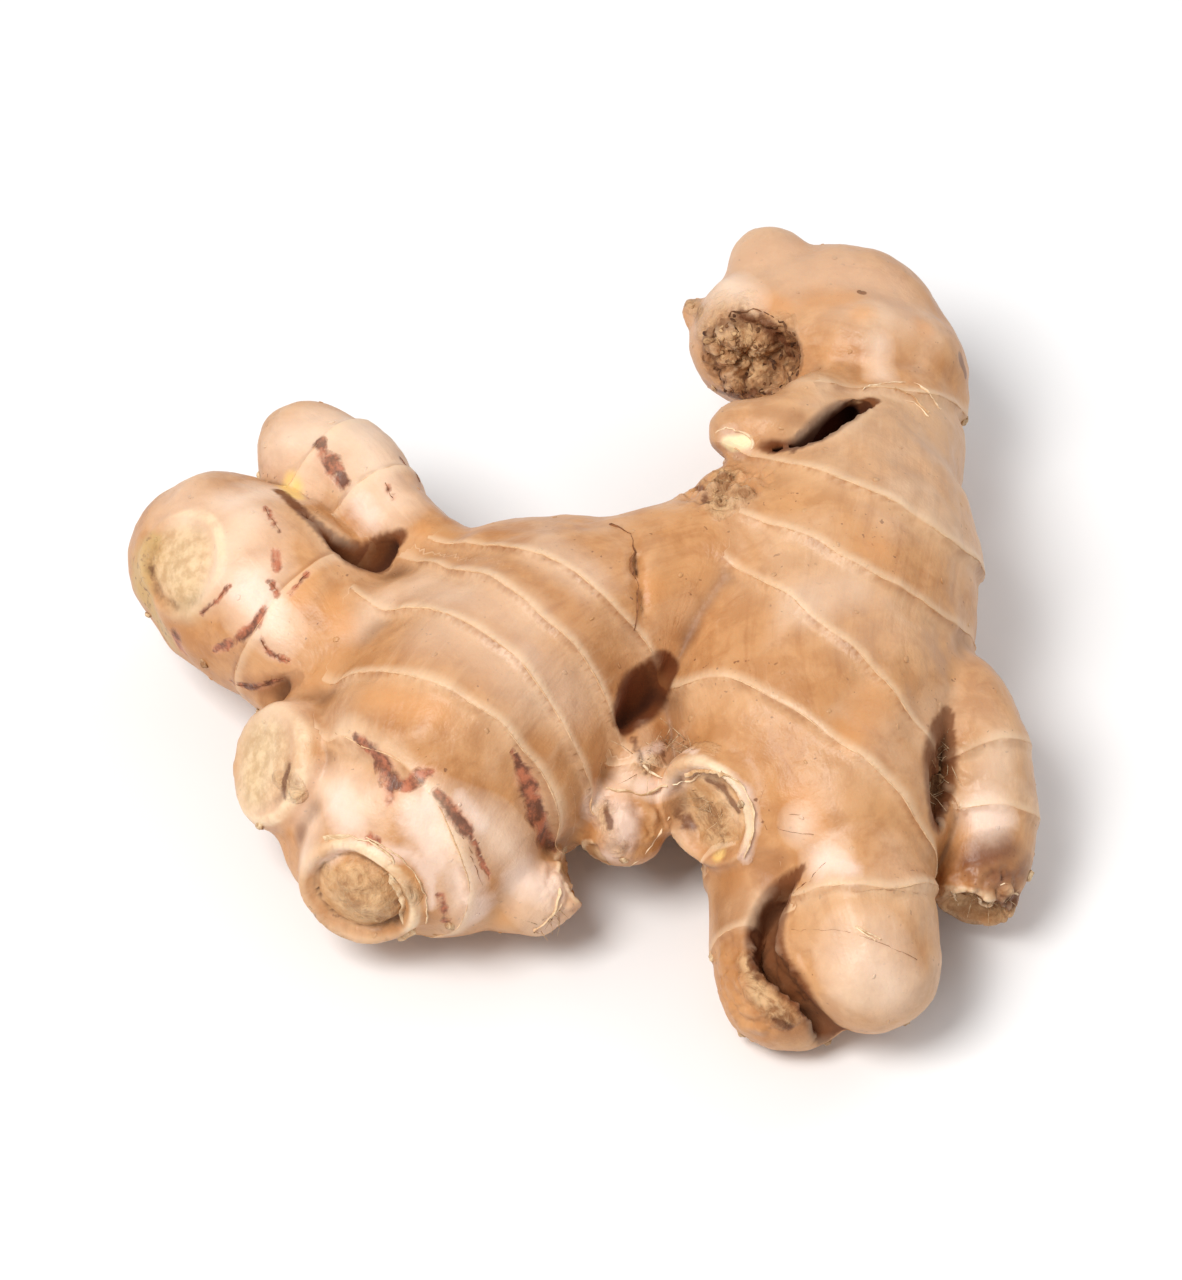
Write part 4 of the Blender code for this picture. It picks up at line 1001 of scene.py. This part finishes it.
def skin_tone_group():
    """The tan of the skin: broad patches, cloudy mottle, streaks along the growth, and specks."""
    group, w, take, give = new_tree(
        "Skin tone", "Shader",
        [("Vector", "Vector", None), ("Vector", "Grown", None), ("Float", "Clear", 1.0),
         ("Color", "Tan", (0.6, 0.4, 0.2, 1.0)), ("Color", "Ochre", (0.5, 0.3, 0.1, 1.0)),
         ("Color", "Ash", (0.6, 0.5, 0.4, 1.0)), ("Color", "Speck", (0.2, 0.1, 0.05, 1.0))],
        [("Color", "Color"), ("Float", "Cloud"), ("Float", "Streak")])
    vector = take["Vector"]
    broad = w.ramp(w.noise(vector, 48.0, 3.0, 0.55, 0.4), 0.36, 0.64)
    shifted = w.vector_math("ADD", vector, {1: (3.1, 1.7, 0.4)})
    cool = w.ramp(w.noise(shifted, 66.0, 3.0, 0.5, 0.6), 0.46, 0.7)
    cloud = w.noise(vector, 210.0, 4.0, 0.62, 0.3)
    streak = w.times(w.minus(w.noise(take["Grown"], 620.0, 3.0, 0.6, 0.1), 0.5), take["Clear"])
    streak = w.plus(streak, 0.5)
    tone = w.mix(w.times(broad, 0.75), take["Tan"], take["Ochre"])
    tone = w.mix(w.times(cool, 0.7), tone, take["Ash"])
    tone = w.mix(w.ramp(cloud, 0.60, 0.36, 0.0, 0.8), tone, (0.80, 0.72, 0.64, 1.0), "MULTIPLY")
    tone = w.mix(w.ramp(streak, 0.50, 0.30, 0.0, 0.6), tone, (0.84, 0.76, 0.68, 1.0), "MULTIPLY")
    tone = w.mix(w.ramp(streak, 0.55, 0.75, 0.0, 0.35), tone, take["Ash"])
    speck = w.times(w.ramp(w.noise(vector, 1300.0, 1.0, 0.5), 0.69, 0.75),
                    w.ramp(w.noise(vector, 130.0, 2.0), 0.48, 0.62, 0.0, 0.7))
    w.feed(give["Color"], w.mix(speck, tone, take["Speck"]))
    w.feed(give["Cloud"], cloud)
    w.feed(give["Streak"], streak)
    return group


def scar_tissue_group():
    """Colour and height of crumbly woody tissue."""
    group, w, take, give = new_tree(
        "Scar tissue", "Shader",
        [("Vector", "Vector", None), ("Color", "Light", (0.4, 0.3, 0.2, 1.0)),
         ("Color", "Dark", (0.1, 0.05, 0.03, 1.0)), ("Float", "Scale", 600.0)],
        [("Color", "Color"), ("Float", "Height")])
    lumps = w.noise(take["Vector"], take["Scale"], 5.0, 0.68, 1.4)
    broad = w.noise(take["Vector"], w.times(take["Scale"], 0.3), 2.0, 0.5, 0.5)
    height = w.plus(w.times(lumps, 0.65), w.times(broad, 0.35))
    w.feed(give["Color"], w.mix(w.ramp(height, 0.36, 0.62), take["Dark"], take["Light"]))
    w.feed(give["Height"], height)
    return group


class Coat(Wiring):
    """The wiring of one material, whose tones are laid one over the other."""

    def __init__(self, name):
        self.material = bpy.data.materials.new(name)
        self.material.use_nodes = True
        super().__init__(self.material.node_tree)
        self.shader = self.tree.nodes["Principled BSDF"].inputs
        self.now = None

    def place(self):
        """The place on the object itself, which its patterns follow."""
        return self.add("ShaderNodeTexCoord").outputs["Object"]

    def lay(self, mask, tint, strength=None, blend="MIX"):
        if strength is not None:
            mask = self.times(mask, strength)
        self.now = self.mix(mask, self.now, tint, blend)

    def bump(self, height, distance, strength):
        bumped = self.add("ShaderNodeBump", {"Strength": strength, "Distance": distance, "Height": height})
        self.feed(self.shader["Normal"], bumped.outputs["Normal"])


def lay_growth(w, torn):
    """Each length between two sheath edges has its own lightness, young skin is pale, and tints, painted
    highlights and painted shade lie over them.
    """
    w.lay(w.ramp(w.field("tone"), 0.45, 0.1, 0.0, 0.55), (0.86, 0.80, 0.74, 1.0), blend="MULTIPLY")
    w.lay(w.ramp(w.field("tone"), 0.55, 0.95, 0.0, 0.25), colour(232, 202, 170))
    # Greyish-lilac bloom, partly painted highlight on the head
    w.lay(w.ramp(w.field("lilac_bloom_and_highlight"), 0.0, 0.9, 0.0, 0.5), colour(222, 190, 164))
    w.lay(w.ramp(w.field("ochre"), 0.1, 0.9, 0.0, 0.55), colour(214, 150, 92))
    w.lay(w.field("young"), colour(238, 206, 170), 0.38)
    # Paler tips, partly painted highlight
    w.lay(torn("tip", 120.0, 0.5, 0.9), colour(246, 220, 198), 0.6)
    # Painted shade
    w.lay(w.ramp(w.field("painted_soft_shade"), 0.1, 0.8, 0.0, 0.6), (0.62, 0.48, 0.34, 1.0), blend="MULTIPLY")
    # Pale torn tissue, partly painted highlight
    w.lay(torn("pale", 260.0, 0.9, 0.65), colour(246, 220, 204), 0.6)


def lay_scars(w, torn, vector, wood):
    """Discs, cores, grooves and lips of the scars, buds, specks and rough tissue."""
    rings = w.ramp(w.noise(vector, 500.0, 4.0, 0.6), 0.35, 0.65)
    w.lay(w.ramp(w.field("disc"), 0.05, 0.85),
          w.mix(rings, colour(204, 184, 146), colour(226, 206, 170)), 0.7)
    flecks = w.ramp(w.noise(vector, 900.0, 3.0), 0.55, 0.68)
    w.lay(torn("olive", 380.0, 0.9, 0.4), w.mix(flecks, colour(190, 158, 100), colour(96, 66, 38)), 0.7)
    w.lay(w.field("core"), w.mix(rings, colour(188, 142, 92), colour(224, 188, 142)), 0.55)
    grooved = w.times(w.field("groove"), w.ramp(w.noise(vector, 210.0, 4.0, 0.6), 0.36, 0.6))
    w.lay(grooved, w.mix(rings, colour(96, 58, 32), colour(176, 128, 82)), 0.8)
    uneven = w.ramp(w.noise(vector, 240.0, 4.0, 0.6), 0.38, 0.6)
    w.lay(w.times(w.ramp(w.field("lip"), 0.25, 0.8), w.plus(0.25, w.times(uneven, 0.5))),
          colour(236, 210, 174))
    w.lay(w.ramp(w.field("cream"), 0.4, 0.7), colour(250, 234, 192))
    w.lay(w.ramp(w.field("bud"), 0.2, 0.75), colour(236, 196, 122))
    w.lay(w.ramp(w.field("dots"), 0.4, 0.6), colour(122, 74, 40), 0.8)
    scar = torn("scar", 300.0, 1.0, 0.55)
    w.lay(scar, wood, 0.8)
    return scar


def lay_edges(w, vector):
    """Each sheath edge is pale, with a thin line of painted shadow below it."""
    broken = w.ramp(w.noise(vector, 170.0, 3.0, 0.6), 0.40, 0.58)
    edge, close = w.field("edge"), w.field("close")
    above = w.times(w.ramp(edge, -1.6, -0.1), w.ramp(edge, 0.2, -0.05))
    w.lay(w.times(above, close), colour(236, 206, 172), 0.4)
    # Thin line of painted shadow just past each edge
    below = w.times(w.ramp(edge, 0.05, 0.25), w.ramp(edge, 1.3, 0.3))
    w.lay(w.times(w.times(below, broken), close), (0.62, 0.48, 0.38, 1.0), 0.6, "MULTIPLY")


def lay_bruises(w, torn, vector, cloud):
    """Purple stains with a soft halo, and brown bruises."""
    halo = w.times(w.ramp(w.field("stain"), 0.05, 0.6), w.ramp(cloud, 0.3, 0.6))
    w.lay(halo, colour(212, 152, 122), 0.5)
    stain = torn("stain", 300.0, 1.7, 0.35)
    blotch = w.ramp(w.noise(vector, 420.0, 5.0, 0.66), 0.38, 0.62)
    w.lay(stain, w.mix(blotch, colour(92, 46, 30), colour(182, 104, 72)), 0.9)
    w.lay(torn("bruise", 200.0, 1.0, 0.9), colour(112, 66, 46), 0.8)
    return stain


def lay_painted_shade(w, torn, cloud):
    """Painted shade in the creases and cavities, a dark crust round the old scar, and a painted highlight
    on raised skin.
    """
    # Painted shade, stronger the deeper a point lies in a crease
    deep = w.ramp(w.field("deep"), 0.10, 0.8, 0.0, 0.88)
    w.lay(deep, colour(104, 62, 32))
    # Painted shade in the hollows, broken by the mottle
    crease_shade = w.ramp(w.plus(w.field("shade"), w.times(w.minus(cloud, 0.5), 0.5)), 0.15, 0.95)
    w.lay(crease_shade, (0.27, 0.14, 0.06, 1.0), blend="MULTIPLY")
    w.lay(torn("rim", 700.0, 1.1, 0.25), colour(104, 58, 26), 0.5)
    # Painted shade in cavities
    w.lay(torn("cave", 520.0, 1.3, 0.4), colour(98, 48, 16), 0.75)
    # Painted highlight on raised skin
    w.lay(w.ramp(w.field("deep"), -0.1, -0.7, 0.0, 0.22), colour(244, 220, 188))
    return deep


def skin_material(ragged, tone, tissue):
    w = Coat("Ginger skin")
    vector = w.place()
    skin = w.group(tone, Vector=vector, Grown=w.field("grown", "Vector"), Clear=w.field("clear"),
                   Tan=colour(204, 151, 102), Ochre=colour(192, 134, 80), Ash=colour(214, 172, 136),
                   Speck=colour(112, 66, 38))
    wood = w.group(tissue, Vector=vector, Light=colour(222, 182, 136), Dark=colour(134, 86, 48),
                   Scale=420.0)

    def torn(field, scale, tear, softness):
        return w.group(ragged, Vector=vector, Field=w.field(field), Scale=scale, Tear=tear,
                       Softness=softness)["Mask"]

    w.now = skin["Color"]
    lay_growth(w, torn)
    scar = lay_scars(w, torn, vector, wood["Color"])
    lay_edges(w, vector)
    stain = lay_bruises(w, torn, vector, skin["Cloud"])
    deep = lay_painted_shade(w, torn, skin["Cloud"])
    w.feed(w.shader["Base Color"], w.now)

    gloss = w.plus(0.30, w.times(skin["Cloud"], 0.22))
    gloss = w.plus(gloss, w.times(w.field("shade"), 0.6))
    gloss = w.plus(gloss, w.times(scar, 0.35))
    w.feed(w.shader["Roughness"], w.plus(gloss, w.times(deep, 0.2), clamp=True))
    w.shader["Specular IOR Level"].default_value = 0.36
    w.shader["Subsurface Weight"].default_value = 0.10
    w.shader["Subsurface Radius"].default_value = (1.0, 0.5, 0.25)
    w.shader["Subsurface Scale"].default_value = 0.0022

    height = w.times(w.noise(vector, 1500.0, 3.0, 0.6), 0.22)
    height = w.plus(height, w.times(w.noise(vector, 430.0, 3.0, 0.55), 0.5))
    height = w.plus(height, w.times(skin["Streak"], 0.4))
    height = w.plus(height, w.times(w.times(wood["Height"], scar), 3.0))
    w.bump(w.minus(height, w.times(stain, 0.5)), 0.00038, 0.8)
    return w.material


def tissue_material(name, tissue, light, dark, roughness, scale=700.0):
    """Woody, papery or fibrous stuff in two tones."""
    w = Coat(name)
    stuff = w.group(tissue, Vector=w.place(), Light=colour(*light), Dark=colour(*dark), Scale=scale)
    w.feed(w.shader["Base Color"], stuff["Color"])
    w.shader["Roughness"].default_value = roughness
    w.bump(stuff["Height"], 0.0003, 0.7)
    return w.material


# Geometry Nodes

def new_growth(name, inputs):
    """A geometry tree with a geometry input and output and named values."""
    return new_tree(name, "Geometry", [("Geometry", "Geometry", None), *inputs],
                    [("Geometry", "Geometry")])


def finish_tree(w, geometry, take, give):
    """Every tree ends in real geometry with its material."""
    real = w.add("GeometryNodeRealizeInstances", {"Geometry": geometry})
    paint = w.add("GeometryNodeSetMaterial", {
        "Geometry": real.outputs["Geometry"], "Material": take["Material"]})
    w.feed(give["Geometry"], paint.outputs["Geometry"])


def named(w, name, kind="FLOAT"):
    """A field of the mesh that a tree runs on."""
    return w.add("GeometryNodeInputNamedAttribute", {"Name": name}, data_type=kind).outputs["Attribute"]


def wandering(w, geometry, scale, reach):
    """Moves every point by a small shift that depends on its place."""
    wander = w.add("ShaderNodeTexNoise", {"Scale": scale, "Detail": 3.0})
    centred = w.vector_math("SUBTRACT", wander.outputs["Color"], {1: (0.5, 0.5, 0.5)})
    shift = w.vector_math("SCALE", centred, {"Scale": reach})
    return w.add("GeometryNodeSetPosition", {"Geometry": geometry, "Offset": shift}).outputs["Geometry"]


def lip_tree():
    """Sweeps a thin lip of uneven thickness along edges that lie on the skin."""
    tree, w, take, give = new_growth("Skin lip", [
        ("Float", "Thickness", 0.0003), ("Float", "Step", 0.0005), ("Float", "Wander", 0.0003),
        ("Float", "Thinnest", 0.15), ("Float", "Flatness", 0.5), ("Material", "Material", None)])
    line = w.add("GeometryNodeMeshToCurve", {"Mesh": take["Geometry"]})
    upright = w.add("GeometryNodeSetCurveNormal", {
        "Curve": line.outputs["Curve"], "Normal": named(w, "up", "FLOAT_VECTOR")}, mode="FREE")
    even = w.add("GeometryNodeResampleCurve", {
        "Curve": upright.outputs["Curve"], "Length": take["Step"]}, mode="LENGTH")
    moved = wandering(w, even.outputs["Curve"], 700.0, take["Wander"])
    swell = w.add("ShaderNodeTexNoise", {"Scale": 320.0, "Detail": 3.0})
    size = w.add("ShaderNodeMapRange", {
        "Value": swell.outputs["Fac"], "From Min": 0.38, "From Max": 0.66, "To Min": take["Thinnest"]})
    girth = w.times(w.times(size.outputs["Result"], take["Thickness"]), named(w, "girth"))
    wire = w.add("GeometryNodeCurvePrimitiveCircle", {"Resolution": 8, "Radius": 1.0}, mode="RADIUS")
    shape = w.add("ShaderNodeCombineXYZ", {"X": 1.0, "Y": take["Flatness"], "Z": 1.0})
    flat = w.add("GeometryNodeTransform", {
        "Geometry": wire.outputs["Curve"], "Scale": shape.outputs["Vector"]})
    sweep = w.add("GeometryNodeCurveToMesh", {
        "Curve": moved, "Profile Curve": flat.outputs["Geometry"], "Scale": girth, "Fill Caps": True})
    finish_tree(w, sweep.outputs["Mesh"], take, give)
    return tree


# For each kind of scattered thing: how far it leans at random, and its least and greatest size
SCATTERED = {
    "hair": (1.25, (0.6, 0.6, 0.4), (1.0, 1.0, 1.0)),
    "strand": (1.5, (0.5, 0.5, 0.8), (0.9, 0.9, 2.2)),
    "crumb": (3.0, (0.45, 0.45, 0.4), (1.25, 1.0, 0.9)),
    "flake": (0.7, (0.7, 0.5, 0.12), (1.9, 1.2, 0.32)),
    "wart": (0.12, (0.4, 0.4, 0.12), (1.2, 1.1, 0.3)),
    "nub": (0.2, (0.6, 0.6, 0.5), (1.3, 1.2, 1.0)),
}
# Those that are cones: their sides, top and bottom radius, and length. The others are round
CONES = {"hair": (4, 0.02, 0.06, 2.0), "strand": (4, 0.02, 0.06, 2.0), "nub": (12, 0.55, 1.0, 0.7)}


def scatter_tree(name, kind):
    """Scatters crumbs, flakes, hairs, strands, root nubs or low warts where a field allows them."""
    tree, w, take, give = new_growth(name, [
        ("Float", "Distance", 0.002), ("Float", "Density", 20000.0), ("String", "Field", "scar"),
        ("Float", "Least", 0.3), ("Float", "Size", 0.0005), ("Float", "Sink", 0.0001),
        ("Int", "Seed", 1), ("Material", "Material", None)])
    enough = w.math("GREATER_THAN", named(w, take["Field"]), take["Least"])
    scatter = w.add("GeometryNodeDistributePointsOnFaces", {
        "Mesh": take["Geometry"], "Distance Min": take["Distance"], "Density Max": take["Density"],
        "Density Factor": enough, "Seed": take["Seed"]}, distribute_method="POISSON")
    if kind in CONES:
        sides, top, bottom, length = CONES[kind]
        form = w.add("GeometryNodeMeshCone", {
            "Vertices": sides, "Side Segments": 2, "Radius Top": top, "Radius Bottom": bottom,
            "Depth": length})
    else:
        form = w.add("GeometryNodeMeshIcoSphere", {"Subdivisions": 2, "Radius": 1.0})
    lean, least, greatest = SCATTERED[kind]

    def chance(low, high, seed):
        return w.add("FunctionNodeRandomValue", {"Min": low, "Max": high, "Seed": seed},
                     data_type="FLOAT_VECTOR").outputs["Value"]

    turn = chance((-lean, -lean, -3.1), (lean, lean, 3.1), take["Seed"])
    swivel = w.add("FunctionNodeRotateRotation", {
        "Rotation": scatter.outputs["Rotation"], "Rotate By": turn}, rotation_space="LOCAL")
    girth = chance(least, greatest, w.plus(take["Seed"], 7))
    place = w.add("GeometryNodeInstanceOnPoints", {
        "Points": scatter.outputs["Points"], "Instance": form.outputs["Mesh"],
        "Rotation": swivel.outputs["Rotation"],
        "Scale": w.vector_math("SCALE", girth, {"Scale": take["Size"]})})
    shift = w.add("ShaderNodeCombineXYZ", {"Z": w.times(take["Sink"], -1.0)})
    down = w.add("GeometryNodeTranslateInstances", {
        "Instances": place.outputs["Instances"], "Translation": shift.outputs["Vector"]})
    real = w.add("GeometryNodeRealizeInstances", {"Geometry": down.outputs["Instances"]})
    lumpy = wandering(w, real.outputs["Geometry"], 1400.0, w.times(take["Size"], 0.9))
    finish_tree(w, lumpy, take, give)
    return tree


def grown(name, source, tree, **values):
    """Runs a tree on a mesh and gives back a plain piece with the result."""
    carrier = placed(name + "_source", source)
    modifier = modify(carrier, "NODES", node_group=tree)
    sockets = {s.name: s.identifier for s in tree.interface.items_tree
               if s.item_type == "SOCKET" and s.in_out == "INPUT"}
    for label, value in values.items():
        modifier[sockets[label]] = value
    mesh = taken(carrier)
    mesh.name = name
    return finished(name, mesh)


def finished(name, mesh):
    """Links a mesh as a smooth piece of the root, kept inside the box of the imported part."""
    inside = np.clip(read(mesh.vertices, "co"), np.array(CAD_LOW) + HAIRBREADTH,
                     np.array(CAD_HIGH) - HAIRBREADTH)
    move_points(mesh, inside)
    for face in mesh.polygons:
        face.use_smooth = True
    piece = placed(name, mesh)
    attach(piece, "root")
    return piece


def line_mesh(lines):
    """Edges along paths on the skin: each has points, the way up at each, and a thickness."""
    points, edges, ups, girths = [], [], [], []
    for path, up, girth in lines:
        first = len(points)
        points += [tuple(p) for p in path]
        ups += [tuple(u) for u in up]
        girths += [girth] * len(path)
        edges += [(i, i + 1) for i in range(first, len(points) - 1)]
    mesh = bpy.data.meshes.new("paths")
    mesh.from_pydata(points, edges, [])
    add_field(mesh, "up", ups, "FLOAT_VECTOR")
    add_field(mesh, "girth", girths)
    return mesh


# Stage

def add_stage():
    """A plain pale floor under soft plain light."""
    floor_mesh = bpy.data.meshes.new("floor")
    floor_mesh.from_pydata([(-3, -3, 0), (3, -3, 0), (3, 3, 0), (-3, 3, 0)], [], [(0, 1, 2, 3)])
    floor = placed("floor", floor_mesh)
    coat = Coat("Pale floor")
    coat.shader["Base Color"].default_value = (0.86, 0.86, 0.87, 1.0)
    coat.shader["Roughness"].default_value = 0.6
    floor_mesh.materials.append(coat.material)
    floor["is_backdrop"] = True
    world = bpy.data.worlds.new("studio")
    bpy.context.scene.world = world
    world.use_nodes = True
    sky = world.node_tree.nodes["Background"].inputs
    sky["Color"].default_value = (1.0, 1.0, 1.0, 1.0)
    sky["Strength"].default_value = 0.48
    bpy.context.scene.view_settings.view_transform = "Standard"


def add_light(name, place, size, power, tint):
    """A square lamp that points at the root."""
    lamp = bpy.data.lights.new(name, "AREA")
    lamp.size = size
    lamp.energy = power
    lamp.color = tint
    item = placed(name, lamp)
    item.location = place
    item.rotation_euler = (Vector(LIT_PLACE) - Vector(place)).to_track_quat("-Z", "Y").to_euler()


def add_camera(aim):
    turn = math.radians(CAMERA_ELEVATION)
    camera = placed("camera", bpy.data.cameras.new("camera"))
    back = Vector((0.0, -math.cos(turn), math.sin(turn)))
    camera.location = Vector(aim) + back * CAMERA_DISTANCE
    camera.rotation_euler = (math.pi / 2 - turn, 0.0, 0.0)
    camera.data.lens = CAMERA_LENS
    camera.data.clip_start = 0.01
    bpy.context.scene.camera = camera


mesh, sheath_lips, drape, fit = skin_mesh()
mesh.name = "skin"
ragged, tone, tissue = ragged_patch_group(), skin_tone_group(), scar_tissue_group()
skin_look = skin_material(ragged, tone, tissue)
mesh.materials.clear()
mesh.materials.append(skin_look)
skin = finished("skin", mesh)
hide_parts("ginger_root")

paper = tissue_material("Papery edge", tissue, (250, 228, 194), (222, 180, 136), 0.55)
sheath = tissue_material("Sheath edge", tissue, (232, 196, 154), (208, 162, 118), 0.5)
flap = tissue_material("Skin flap", tissue, (238, 212, 174), (196, 152, 106), 0.65, 520.0)
crack = tissue_material("Crack", tissue, (150, 98, 58), (98, 54, 24), 0.8)
fibre = tissue_material("Dry fibre", tissue, (232, 204, 164), (150, 104, 64), 0.75)
crust = tissue_material("Dark crust", tissue, (132, 88, 52), (66, 36, 18), 0.85)
crumb = tissue_material("Woody crumb", tissue, (206, 166, 120), (120, 78, 46), 0.85)

# Lips swept along paths: lines, thickness, wander, least part of the thickness, flatness and stuff
flaps = FLAPS + [(row[1], rim_path(*row)) for row in RIM_FLAPS]
lip = lip_tree()
for name, lines, thickness, wander, thinnest, flatness, stuff in (
        ("sheath_edges", sheath_lips, 0.00021, 0.00022, 0.02, 0.6, sheath),
        ("torn_rims", drape(RIMS), 0.00038, 0.0012, 0.15, 0.6, paper),
        ("skin_flaps", drape(flaps), 0.00042, 0.0009, 0.35, 0.3, flap),
        ("dark_rims", drape(CRUSTS), 0.0007, 0.0022, 0.05, 0.8, crust),
        ("fine_cracks", drape(CRACKS), 0.00020, 0.0008, 0.2, 0.3, crack)):
    grown(name, line_mesh(lines), lip, Thickness=thickness, Wander=wander, Thinnest=thinnest,
          Flatness=flatness, Material=stuff)

# Things scattered on the skin: tree, distance, density, field and its least value, size, sink,
# seed and stuff
crumbs, flakes = scatter_tree("Crumbs", "crumb"), scatter_tree("Flakes", "flake")
hairs, strands = scatter_tree("Hairs", "hair"), scatter_tree("Strands", "strand")
warts, nubs = scatter_tree("Warts", "wart"), scatter_tree("Root nubs", "nub")
for name, tree, distance, density, field, least, size, sink, seed, stuff in (
        ("scar_crumbs", crumbs, 0.0006, 900000.0, "gritty", 0.6, 0.0004, 0.0001, 3, crumb),
        ("scar_flakes", flakes, 0.0014, 300000.0, "gritty", 0.4, 0.00055, 0.0001, 4, crumb),
        ("rim_flakes", flakes, 0.0007, 800000.0, "rim", 0.62, 0.0004, 0.0001, 6, crust),
        ("dry_fibres", hairs, 0.0006, 900000.0, "hairy", 0.45, 0.0010, 0.0001, 5, fibre),
        ("dry_strands", strands, 0.0009, 600000.0, "hairy", 0.3, 0.0012, 0.0001, 9, fibre),
        ("low_warts", warts, 0.0075, 20000.0, "bare", 0.5, 0.00045, 0.00002, 8, skin_look),
        ("root_nubs", nubs, 0.0085, 20000.0, "low", 0.2, 0.0008, 0.0001, 10, fibre)):
    grown(name, mesh, tree, Distance=distance, Density=density, Field=field, Least=least, Size=size,
          Sink=sink, Seed=seed, Material=stuff)

add_camera(fit(np.array(CAMERA_AIM)))
add_stage()
add_light("key", (-0.35, -0.30, 0.80), 0.4, 7.6, (1.0, 0.98, 0.95))
add_light("fill", (0.5, 0.45, 0.5), 0.5, 1.5, (0.97, 0.98, 1.0))
